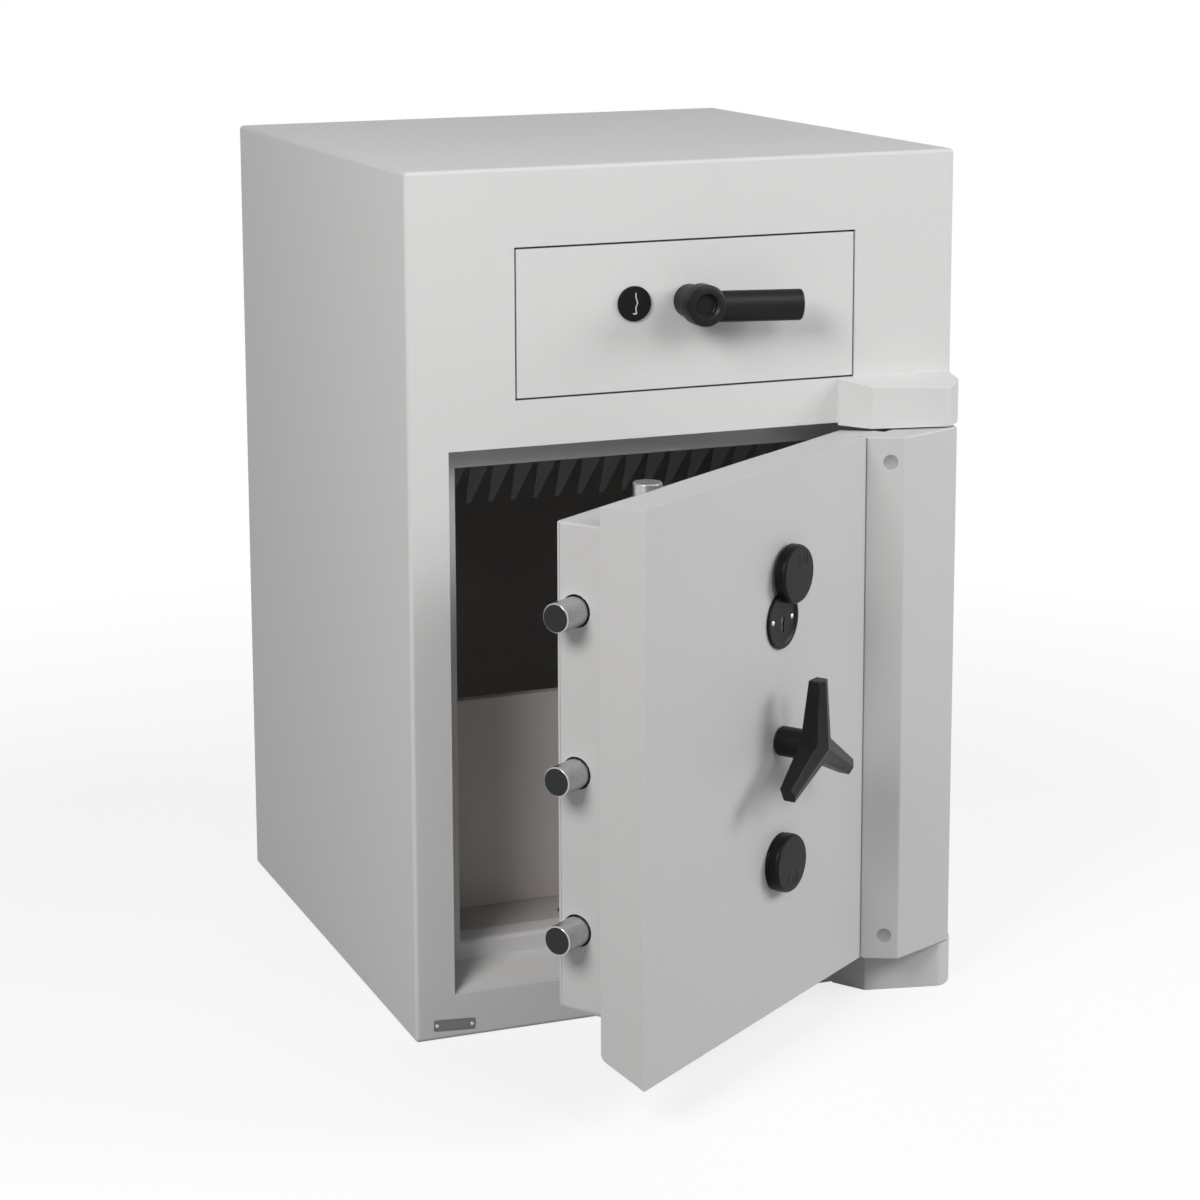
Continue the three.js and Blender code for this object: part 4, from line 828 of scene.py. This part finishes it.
class SAFE_OT_bolt_case(bpy.types.Operator):
    """Folded bolt case on the back of the door, its lid and the four lid screws"""

    bl_idname = "safe.bolt_case"
    bl_label = "Bolt case"

    def execute(self, context):
        sheet = context.scene.safe_sizes.sheet_edge
        c = CASE
        posts = [(x, z) for x in (c["left"] + POST_INSET, c["right"] - POST_INSET)
                 for z in (c["bottom"] + POST_INSET, c["top"] - POST_INSET)]
        middle = (c["bottom"] + c["top"]) / 2

        def round_corners(obj):
            """The fold is tight at the case's top corners and wider at its bottom ones."""
            round_edges(obj, 0.0025, 3, lambda a, b: abs(a.y - b.y) > 1 and a.z > middle)
            round_edges(obj, 0.007, 6, lambda a, b: abs(a.y - b.y) > 1 and a.z < middle)

        rim = c["back"] - CASE_SHEET - SEAT
        case = block("case_of_bolts", (c["left"], c["front"], c["bottom"]),
                     (c["right"], rim, c["top"]))
        round_corners(case)
        edit(case)
        pick(case, lambda m, n: abs(n.y) > 0.9)
        bpy.ops.mesh.delete(type="FACE")
        done(case)
        apply(case, "SOLIDIFY", thickness=CASE_SHEET * MM, offset=-1)
        soften(case, sheet * 0.3, 2, 60)
        post = turned("post", (posts[0][0], 0, posts[0][1]),
                      [(0, c["front"]), (POST_RADIUS, c["front"]), (POST_RADIUS, rim), (0, rim)],
                      steps=24)
        others = [copy_of(post, "post_copy", (x - posts[0][0], 0, z - posts[0][1]))
                  for x, z in posts[1:]]
        fuse(case, post, *others)
        for x, z in posts:
            drill(case, (x, 0, z), SCREW_HOLE, rim - 22, rim + 1, steps=16)
        for z in SIDE_BOLTS.values():
            drill(case, (0, BOLT_Y, z), BOLT + BOLT_GAP, c["left"] - 1, c["left"] + 4, X, 48)
        for z0, z1 in ((c["top"] - 4, c["top"] + 1), (c["bottom"] - 1, c["bottom"] + 4)):
            drill(case, (END_BOLT_X, BOLT_Y, 0), BOLT + BOLT_GAP, z0, z1, Z, 48)
        fit(hang(case), "door", "door_paint", "bolt_box")

        lid = block("lid_of_case", (c["left"], c["back"] - CASE_SHEET, c["bottom"]),
                    (c["right"], c["back"], c["top"]))
        round_corners(lid)
        round_edges(lid, sheet * 1.6, 3, lambda a, b: min(a.y, b.y) > c["back"] - 0.01)
        for x, z in posts:
            drill(lid, (x, 0, z), SCREW_HOLE, c["back"] - 4, c["back"] + 1, steps=16)
        fit(hang(lid), "door", "door_paint", "bolt_box_cover")

        head = c["back"] + SEAT
        screw = turned("lid_screw_1", (posts[0][0], 0, posts[0][1]),
                       [(0, rim - 19.7), (2.5, rim - 19.7), (2.5, head), (5, head),
                        (4.9, head + 0.7), (4.3, head + 1.4), (3.2, head + 1.85), (0, head + 2)],
                       steps=24)
        socket = turned("bore", (posts[0][0], 0, posts[0][1]),
                        [(0, head + 0.6), (1.5, head + 0.6), (1.5, head + 3), (0, head + 3)],
                        steps=6)
        carve(screw, socket)
        screws = [screw] + [
            copy_of(screw, "lid_screw_" + str(i + 2), (x - posts[0][0], 0, z - posts[0][1]))
            for i, (x, z) in enumerate(posts[1:])]
        for i, piece in enumerate(screws, 1):
            fit(hang(piece), "door", "plated_steel", "bolt_box_screw_" + str(i))
        return {"FINISHED"}


class SAFE_OT_pillar(bpy.types.Operator):
    """Hinge pillar with its rounded ridge, and the two painted plugs in its chamfer"""

    bl_idname = "safe.pillar"
    bl_label = "Hinge pillar"

    def execute(self, context):
        edge = context.scene.safe_sizes.hinge_edge
        root = STEP_LEFT + GROOVE
        first = math.asin((CREST[2][0] - HINGE_X) / SWEEP)
        arc = [(HINGE_X + SWEEP * math.sin(first * (1 - i / 7)),
                HINGE_Y + SWEEP * math.cos(first * (1 - i / 7))) for i in range(8)]
        plan = [(root, STEP_DEPTH - SEAT), (root, 0), *CREST, *arc, (SLAB["right"], -1),
                (SLAB["right"], STEP_DEPTH - SEAT)]
        pillar = prism("pillar_of_hinge", [(x, y, PILLAR_LOW) for x, y in plan],
                       (0, 0, PILLAR_HIGH - PILLAR_LOW))
        carve(pillar, prism("bore", [(440, 0, 49.5), (440, 14, 49.5 + 14 * 19 / 49), (440, 14, 40),
                                     (440, -2, 40), (440, -2, 48.7)], (52, 0, 0)))

        def ridges(a, b):
            """The long ridges and the front rims, and none of the root that fills the slab's step."""
            upright = abs(a.x - b.x) < 0.01 and abs(a.y - b.y) < 0.01
            if upright:
                return any(abs(a.x - x) < 0.01 and abs(a.y - y) < 0.01 for x, y in CREST)
            level = abs(a.z - b.z) < 0.01 and max(a.y, b.y) < 0.01 and max(a.x, b.x) < 576
            return level and min(a.y, b.y) < -20

        round_edges(pillar, edge, 4, ridges)
        for start, end in ((PILLAR_LOW - 1, PILLAR_LOW + 26.3), (PILLAR_HIGH - 26.3, PILLAR_HIGH + 1)):
            drill(pillar, (HINGE_X, HINGE_Y, 0), PIN + SEAT, start, end, Z)
        across = Vector((CREST[0][0] - root, HINGE_Y, 0))
        square = Matrix.Rotation(-math.atan2(-across.y, across.x), 4, "Z")

        def into_chamfer(obj, z):
            """Moves a lathe piece drawn at the corner to the pillar's chamfer, square to it."""
            spot = place(root + across.x * PLUG_ACROSS, across.y * PLUG_ACROSS, z)
            return move_by(obj, Matrix.Translation(spot) @ square @ Matrix.Translation(-CORNER))

        for which, z in (("upper", PILLAR_HIGH - PLUG_FROM_END),
                         ("lower", PILLAR_LOW + PLUG_FROM_END)):
            hole = turned("bore", (0, 0, 0),
                          [(0, -2), (7.9, -2), (7.6, 0), (7.25, 0.35), (7.2, 8.3), (0, 8.3)])
            carve(pillar, into_chamfer(hole, z))
            cap = turned("plug_of_pillar_" + which, (0, 0, 0),
                         [(0, 2.3), (1.8, 2.2), (3.6, 1.85), (5.2, 1.3), (6.4, 0.7), (6.9, 0.3),
                          (7.15, 0.4), (7.15, 8), (0, 8)])
            fit(hang(into_chamfer(cap, z)), "door", "door_paint", "pillar_plug_" + which, angle=50)
            # The plug takes the darker coat: painted shade over its dished face.
            cap.data.materials[0] = finish("plug_shaded_coat")
        fit(hang(pillar), "door", "door_paint", "hinge_pillar")
        return {"FINISHED"}


class SAFE_OT_key_covers(bpy.types.Operator):
    """Escutcheons with their screws, and the swivelling covers over them"""

    bl_idname = "safe.key_covers"
    bl_label = "Key covers"

    def execute(self, context):
        front = -SEAT - 3
        back = front - SEAT
        z = LOCKS_Z["upper"]
        floor = front + 1.7
        plate = turned("escutcheon_dished", (FITTINGS_X, 0, z),
                       [(0, floor), (21.4, floor), (22.2, floor - 0.3), (24.2, front + 0.25),
                        (24.9, front), (26.8, front), (27.7, front + 0.35), (28, front + 1),
                        (28, -SEAT), (0, -SEAT)], steps=64)
        carve(plate, keyhole_cutter(z, front - 1, 0))
        drill(plate, (FITTINGS_X, 0, z + COVER_PIVOT), 3.3, front - 1, 0, steps=24)
        for x in (FITTINGS_X - SPREAD, FITTINGS_X + SPREAD):
            drill(plate, (x, 0, z), 2.3, front - 1, 0, steps=20)
            drill(plate, (x, 0, z), 2.7, front - 1, floor + 0.4, steps=24)
        screw = turned("escutcheon_screw", (FITTINGS_X - SPREAD, 0, z),
                       [(0, floor - 0.9), (1.2, floor - 0.8), (2, floor - 0.5),
                        (2.5, floor), (2.5, floor + 0.2), (2, floor + 0.2),
                        (2, front + 12), (0, front + 12)], steps=24)
        carve(screw, block("bore", (FITTINGS_X - SPREAD - 4, front - 1, z - 0.4),
                           (FITTINGS_X - SPREAD + 4, floor - 0.4, z + 0.4)))
        pin = turned("cover_pin", (FITTINGS_X, 0, z + COVER_PIVOT),
                     [(0, back - 5.7), (2.6, back - 5.7), (3, back - 5.3), (3, -SEAT), (0, -SEAT)],
                     steps=24)
        face = back - 11
        cover = turned("cover_of_key", (FITTINGS_X, 0, z),
                       [(0, face), (26.3, face), (26.8, face + 0.25), (27.9, face + 1.9),
                        (28.2, face + 2.5), (28.5, face + 4), (28.5, back - 0.5), (28, back),
                        (0, back)], steps=72)
        drill(cover, (FITTINGS_X, 0, z + COVER_PIVOT), 3.3, back - 6, back + 1, steps=24)
        low, high = face + 0.35, face + 0.12
        thumb = turned("bore", (FITTINGS_X, 0, z - 15),
                       [(0, face - 2), (9.7, face - 2), (9.5, face), (8.9, low), (7.9, low),
                        (7.4, high), (6.6, high), (6.1, low), (5.1, low), (4.6, high),
                        (3.8, high), (3.3, low), (0, low)], steps=48)
        carve(cover, thumb)
        drop = (0, 0, LOCKS_Z["lower"] - z)
        lower = {
            "plate": copy_of(plate, "escutcheon_dished_lower", drop),
            "pin": copy_of(pin, "cover_pin_lower", drop),
            "cover": copy_of(cover, "cover_of_key_lower", drop)}
        for which, shift in (("upper", (0, 0, 0)), ("lower", drop)):
            for side, across in (("left", 0), ("right", 2 * SPREAD)):
                twin = copy_of(screw, "plate_screw_" + which + "_" + side,
                               (across, 0, shift[2]))
                fit(hang(twin), "door", "bare_steel", "escutcheon_screw_" + which + "_" + side)
        bpy.data.objects.remove(screw)
        plate.name, pin.name, cover.name = (
            "escutcheon_dished_upper", "cover_pin_upper", "cover_of_key_upper")
        pivot = Matrix.Translation(place(FITTINGS_X, 0, z + COVER_PIVOT))
        swung = pivot @ Matrix.Rotation(-COVER_SWING, 4, "Y") @ pivot.inverted()
        move_by(cover, swung)
        for which, pieces in (("upper", (plate, pin, cover)),
                              ("lower", (lower["plate"], lower["pin"], lower["cover"]))):
            fit(hang(pieces[0]), "door", "black_plastic", "escutcheon_" + which)
            fit(hang(pieces[1]), "door", "bare_steel", "key_cover_pin_" + which)
            fit(hang(pieces[2]), which + "_cover", "black_plastic", "key_cover_" + which)
        return {"FINISHED"}


class SAFE_OT_handle(bpy.types.Operator):
    """Tri-spoke handle: three tapered spokes with a ridge, on a round boss"""

    bl_idname = "safe.handle"
    bl_label = "Tri-spoke handle"

    def execute(self, context):
        reach, plane, taper = 66, -43.5, 0.6
        outline = [(-13, 15.5), (-13, -4.5), (0, -9), (13, -4.5), (13, 15.5)]
        spoke = drawn("spoke", [(FITTINGS_X + x, plane + y, HANDLE_Z) for x, y in outline])
        bpy.ops.mesh.extrude_region_move(TRANSFORM_OT_translate={"value": Z * reach * MM})
        bpy.ops.transform.resize(value=(taper, taper, 1),
                                 center_override=place(FITTINGS_X, plane, HANDLE_Z + reach))
        face_out()
        done(spoke)
        round_edges(spoke, 0.0008, 2, lambda a, b: max(a.z, b.z) > HANDLE_Z + 1)
        hub = Matrix.Translation(place(FITTINGS_X, 0, HANDLE_Z))
        others = []
        for i in (1, 2):
            turn = hub @ Matrix.Rotation(i * math.tau / 3, 4, "Y") @ hub.inverted()
            others.append(move_by(copy_of(spoke, "spoke_copy"), turn))
        boss = turned("boss", (FITTINGS_X, 0, HANDLE_Z),
                      [(0, plane + 2), (14.5, plane + 2), (14.5, -2.2), (14.1, -1.4), (13.2, -1),
                       (0, -1)], steps=64)
        handle = fuse(boss, spoke, *others)
        handle.name = "handle_three_spokes"
        drill(handle, (FITTINGS_X, 0, HANDLE_Z), 8.3, plane + 6, 0)
        fit(hang(handle), "handle", "black_casting", "tri_spoke_handle")
        spindle = turned("spindle_of_handle", (FITTINGS_X, 0, HANDLE_Z),
                         [(0, plane + 6.3), (7.4, plane + 6.3), (8, plane + 7), (8, 59.5),
                          (7.4, 60.2), (0, 60.2)])
        fit(hang(spindle), "handle", "bare_steel", "handle_spindle")
        bush = turned("bush_of_handle", (FITTINGS_X, 0, HANDLE_Z),
                      [(8.3, -0.1), (8.6, -0.3), (11, -0.3), (11.3, 0), (11.3, 48.7), (8.3, 48.7),
                       (8.3, -0.1)])
        fit(hang(bush), "door", "bush_brass", "handle_bush")
        return {"FINISHED"}


class SAFE_OT_bolts(bpy.types.Operator):
    """Chromed side, top and bottom bolts with chamfered ends"""

    bl_idname = "safe.bolts"
    bl_label = "Bolts"

    def execute(self, context):
        z = SIDE_BOLTS["upper"]

        def profile(tip, root, way):
            return [(0, tip), (BOLT - 1.2, tip), (BOLT - 0.9, tip + way * 0.15),
                    (BOLT - 0.15, tip + way * 0.9), (BOLT, tip + way * 1.2), (BOLT, root), (0, root)]

        first = turned("bolt_side_upper", (0, BOLT_Y, z), profile(BOLT_TIP, BOLT_ROOT, 1), X, 64)
        pieces = [("side_bolts", "side_bolt_upper", first)]
        for which in ("middle", "lower"):
            twin = copy_of(first, "bolt_side_" + which, (0, 0, SIDE_BOLTS[which] - z))
            pieces.append(("side_bolts", "side_bolt_" + which, twin))
        for which, tip, root, way in (("top", 574, 520.3, -1), ("bottom", 66, 119.7, 1)):
            bolt = turned("bolt_" + which, (END_BOLT_X, BOLT_Y, 0), profile(tip, root, way), Z, 64)
            pieces.append((which + "_bolt_set", which + "_bolt", bolt))
        parts = {}
        # Faces along a bolt's axis take the near-black end coat, a painted dark reflection; faces between take the
        # glossy rim coat.
        for body, cad, piece in pieces:
            facing = [abs(face.normal.x if body == "side_bolts" else face.normal.z)
                      for face in piece.data.polygons]
            parts[cad] = [0 if value < 0.3 else 1 if value > 0.9 else 2 for value in facing]
        for body, cad, piece in pieces:
            fit(hang(piece), body, "bolt_chrome", cad)
            piece.data.materials.append(finish("bolt_end_dark_reflection"))
            piece.data.materials.append(finish("bolt_rim"))
            piece.data.polygons.foreach_set("material_index", parts[cad])
        return {"FINISHED"}


# Drawer

class SAFE_OT_drawer(bpy.types.Operator):
    """Drawer front, its folded carriage and the tipping tray"""

    bl_idname = "safe.drawer"
    bl_label = "Drawer"

    def execute(self, context):
        sheet = context.scene.safe_sizes.sheet_edge
        low, high = frame_box("drawer_front")
        panel = soften(block("panel_of_drawer", low, high), 0.0005, 3)
        drill(panel, (LEVER_X, 0, LEVER_Z), 8.3, -1, 13)
        drill(panel, (LOCK_X, 0, LEVER_Z), 13.3, -1, 13, steps=40)
        fit(panel, "drawer", "body_paint", "drawer_front")
        fit(eased("carriage_folded", "drawer_carriage", sheet, 2), "drawer", "plated_steel",
            "drawer_carriage")
        fit(eased("lock_case_round", "drawer_lock_body", sheet, 2), "drawer", "plated_steel",
            "drawer_lock_body")
        fit(eased("tray_folded", "tip_tray", sheet, 2), "tray", "plated_steel", "tip_tray")
        return {"FINISHED"}


class SAFE_OT_drawer_lever(bpy.types.Operator):
    """Drawer lever: a stepped hub with a deep socket, a rounded bar, and the cam behind the drawer"""

    bl_idname = "safe.drawer_lever"
    bl_label = "Drawer lever"

    def execute(self, context):
        hub = turned("lever_of_drawer", (LEVER_X, 0, LEVER_Z),
                     [(0, -48), (16.6, -48), (19.4, -46.8), (20.5, -44.6), (20.5, -29),
                      (19.9, -27.2), (17.4, -22.9), (16.5, -21), (16.5, -1.8), (15.8, -1), (8, -1),
                      (8, 25.4), (7.4, 26), (0, 26)], steps=64)
        top, depth, centre = 15.5, 10, -35
        section = [(centre - depth * math.cos(a), top * math.sin(a))
                   for a in (i * math.tau / 48 for i in range(48))]
        bar = prism("bar", [(LEVER_X, y, LEVER_Z - 2 + z) for y, z in section], (105, 0, 0))
        round_edges(bar, 0.0022, 4, lambda a, b: min(a.x, b.x) > LEVER_X + 104)
        socket = turned("bore", (LEVER_X, 0, LEVER_Z),
                        [(0, -41), (9.6, -41), (10.5, -41.6), (10.5, -46), (12.6, -48.1),
                         (12.6, -50), (0, -50)], steps=64)
        pivot = Matrix.Translation(place(LEVER_X, 0, LEVER_Z))
        droop = Matrix.Rotation(math.radians(1.9), 4, "Y")
        fuse(hub, move_by(bar, pivot @ droop @ pivot.inverted()))
        carve(hub, socket)
        fit(hub, "lever", "black_casting", "drawer_lever")
        cam = eased("cam_of_latch", "drawer_latch_cam", 0.0005, 2)
        fit(cam, "lever", "plated_steel", "drawer_latch_cam")
        return {"FINISHED"}


class SAFE_OT_drawer_lock(bpy.types.Operator):
    """Round lock face with a zigzag keyway, its plug and its cam"""

    bl_idname = "safe.drawer_lock"
    bl_label = "Drawer lock"

    def execute(self, context):
        face = -3
        plug = turned("face_of_lock", (LOCK_X, 0, LEVER_Z),
                      [(0, face), (16.3, face), (17, face + 0.25), (17.3, face + 0.9),
                       (17.3, -SEAT), (9, -SEAT), (9, 18.8), (0, 18.8)], steps=64)
        cam = block("cam", (LOCK_X - 66, 12.8, LEVER_Z - 10), (LOCK_X, 18.8, LEVER_Z + 10))
        round_edges(cam, 0.006, 5, lambda a, b: abs(a.y - b.y) > 1 and max(a.x, b.x) < LOCK_X - 60)
        fuse(plug, cam)
        line = [(1.3, 10.7), (1, 7.1), (1.5, 4.8), (2.5, 2.2), (2.6, 0), (1.1, -3.3), (1, -6.4),
                (1.7, -8.8)]
        half = 0.7
        left = [(LOCK_X + x - half, z + LEVER_Z) for x, z in line]
        right = [(LOCK_X + x + half, z + LEVER_Z) for x, z in reversed(line)]
        foot = [(LOCK_X + x, LEVER_Z + z) for x, z in ((-2, -8.9), (-2.4, -10), (0.2, -10.6), (2.2, -10))]
        outline = left + foot + right
        slot = prism("bore", [(x, face - 1, z) for x, z in outline], (0, 1.9, 0))
        carve(plug, slot)
        fit(plug, "lock_plug", "black_plastic", "drawer_lock_plug")
        strip = prism("keyway_liner", [(x, face + 0.35, z) for x, z in outline], (0, 0.5, 0))
        fit(strip, "lock_plug", "bare_steel")
        return {"FINISHED"}


# Stage

class SAFE_OT_stage(bpy.types.Operator):
    """Pale floor, soft lamps, white surroundings and the camera"""

    bl_idname = "safe.stage"
    bl_label = "Stage"

    def execute(self, context):
        deselect()
        bpy.ops.mesh.primitive_plane_add(size=30, location=(0, 0, 0))
        floor = settled("stage_floor")
        material = bpy.data.materials.new("Pale floor")
        material.use_nodes = True
        tree = material.node_tree
        tree.nodes.clear()
        path = node(tree, "ShaderNodeLightPath")
        seen = node(tree, "ShaderNodeMath",
                    {0: path.outputs["Is Camera Ray"], 1: path.outputs["Is Glossy Ray"]},
                    operation="MAXIMUM")
        seen = node(tree, "ShaderNodeMath",
                    {0: seen.outputs[0], 1: path.outputs["Is Transmission Ray"]},
                    operation="MAXIMUM")
        where = node(tree, "ShaderNodeTexCoord")
        away = node(tree, "ShaderNodeVectorMath", {0: where.outputs["Object"]}, operation="LENGTH")
        fade = node(tree, "ShaderNodeMapRange",
                    {"Value": away.outputs["Value"], "From Min": 0.75, "From Max": 1.7,
                     "To Min": FLOOR_GLOW, "To Max": 1.0})
        pale = node(tree, "ShaderNodeBsdfDiffuse", {"Color": (0.93, 0.93, 0.93, 1)})
        quiet = node(tree, "ShaderNodeBsdfDiffuse", {"Color": (0.35, 0.35, 0.35, 1)})
        glow = node(tree, "ShaderNodeEmission", {"Color": (1, 1, 1, 1), "Strength": 1.0})
        lit = node(tree, "ShaderNodeMixShader",
                   {0: fade.outputs[0], 1: pale.outputs[0], 2: glow.outputs[0]})
        either = node(tree, "ShaderNodeMixShader",
                      {0: seen.outputs[0], 1: quiet.outputs[0], 2: lit.outputs[0]})
        node(tree, "ShaderNodeOutputMaterial", {"Surface": either.outputs[0]})
        floor.data.materials.append(material)

        world = bpy.data.worlds.new("Studio")
        context.scene.world = world
        world.use_nodes = True
        tree = world.node_tree
        tree.nodes.clear()
        path = node(tree, "ShaderNodeLightPath")
        seen = node(tree, "ShaderNodeMath",
                    {0: path.outputs["Is Camera Ray"], 1: path.outputs["Is Glossy Ray"]},
                    operation="MAXIMUM")
        seen = node(tree, "ShaderNodeMath",
                    {0: seen.outputs[0], 1: path.outputs["Is Transmission Ray"]},
                    operation="MAXIMUM")
        soft = node(tree, "ShaderNodeBackground", {"Color": (1, 1, 1, 1), "Strength": 0.24})
        white = node(tree, "ShaderNodeBackground", {"Color": (1, 1, 1, 1), "Strength": 1.0})
        mix = node(tree, "ShaderNodeMixShader",
                   {0: seen.outputs[0], 1: soft.outputs[0], 2: white.outputs[0]})
        node(tree, "ShaderNodeOutputWorld", {"Surface": mix.outputs[0]})

        for name, spot, size, power in (
            ("Left lamp", (-2.0, -1.8, 2.0), 1.2, 54),
            ("Right lamp", (2.6, -1.6, 1.7), 1.4, 47),
            ("Front lamp", (1.0, -2.6, 2.1), 1.2, 17),
            ("Rear lamp", (0.4, 2.9, 1.2), 1.6, 18),
        ):
            deselect()
            bpy.ops.object.light_add(type="AREA", location=spot)
            lamp = context.object
            lamp.name = lamp.data.name = name
            lamp.data.shape = "DISK"
            lamp.data.size = size
            lamp.data.energy = power
            if name == "Left lamp":
                lamp.data.color = (1, 0.982, 0.978)
            lamp.visible_glossy = name != "Rear lamp"
            aim = Vector((0, -0.2, 0.6)) - Vector(spot)
            lamp.rotation_euler = aim.to_track_quat("-Z", "Y").to_euler()

        deselect()
        bpy.ops.object.camera_add()
        camera = context.object
        camera.name = camera.data.name = "Photograph"
        turn = (
            Matrix.Rotation(math.radians(-19.937), 4, "Z")
            @ Matrix.Rotation(math.radians(90 - 10.006), 4, "X")
            @ Matrix.Rotation(math.radians(-0.503), 4, "Z")
        )
        camera.matrix_world = Matrix.Translation(place(-862.79, -2636.74, 1132.46)) @ turn
        camera.data.sensor_width = 36
        camera.data.sensor_fit = "HORIZONTAL"
        camera.data.lens = 2972.1 / 1200 * 36
        camera.data.shift_x = (600 - 500) / 1200
        camera.data.shift_y = (400 - 600) / 1200
        camera.data.clip_end = 50
        context.scene.camera = camera
        context.scene.view_settings.view_transform = "Standard"
        return {"FINISHED"}


OPERATORS = (
    SAFE_OT_finishes, SAFE_OT_casing, SAFE_OT_vault, SAFE_OT_hinge_blocks, SAFE_OT_serial_plate,
    SAFE_OT_door_slab, SAFE_OT_bolt_case, SAFE_OT_pillar, SAFE_OT_key_covers, SAFE_OT_handle,
    SAFE_OT_bolts, SAFE_OT_drawer, SAFE_OT_drawer_lever, SAFE_OT_drawer_lock, SAFE_OT_stage,
)


class SAFE_PT_panel(bpy.types.Panel):
    """Lists the steps that build the safe"""

    bl_idname = "SAFE_PT_panel"
    bl_label = "Deposit safe"
    bl_space_type = "VIEW_3D"
    bl_region_type = "UI"
    bl_category = "Safe"

    def draw(self, context):
        layout = self.layout
        for holder in (context.scene.safe_sizes, context.scene.safe_finishes):
            for key in holder.__annotations__:
                layout.prop(holder, key)
        for operator in OPERATORS:
            layout.operator(operator.bl_idname)


CLASSES = (SafeSizes, SafeFinishes, *OPERATORS, SAFE_PT_panel)


def register():
    for cls in CLASSES:
        bpy.utils.register_class(cls)
    bpy.types.Scene.safe_sizes = PointerProperty(type=SafeSizes)
    bpy.types.Scene.safe_finishes = PointerProperty(type=SafeFinishes)


def unregister():
    del bpy.types.Scene.safe_finishes
    del bpy.types.Scene.safe_sizes
    for cls in reversed(CLASSES):
        bpy.utils.unregister_class(cls)


def main():
    register()
    for operator in OPERATORS:
        prefix, name = operator.bl_idname.split(".")
        getattr(getattr(bpy.ops, prefix), name)()


if __name__ == "__main__":
    main()
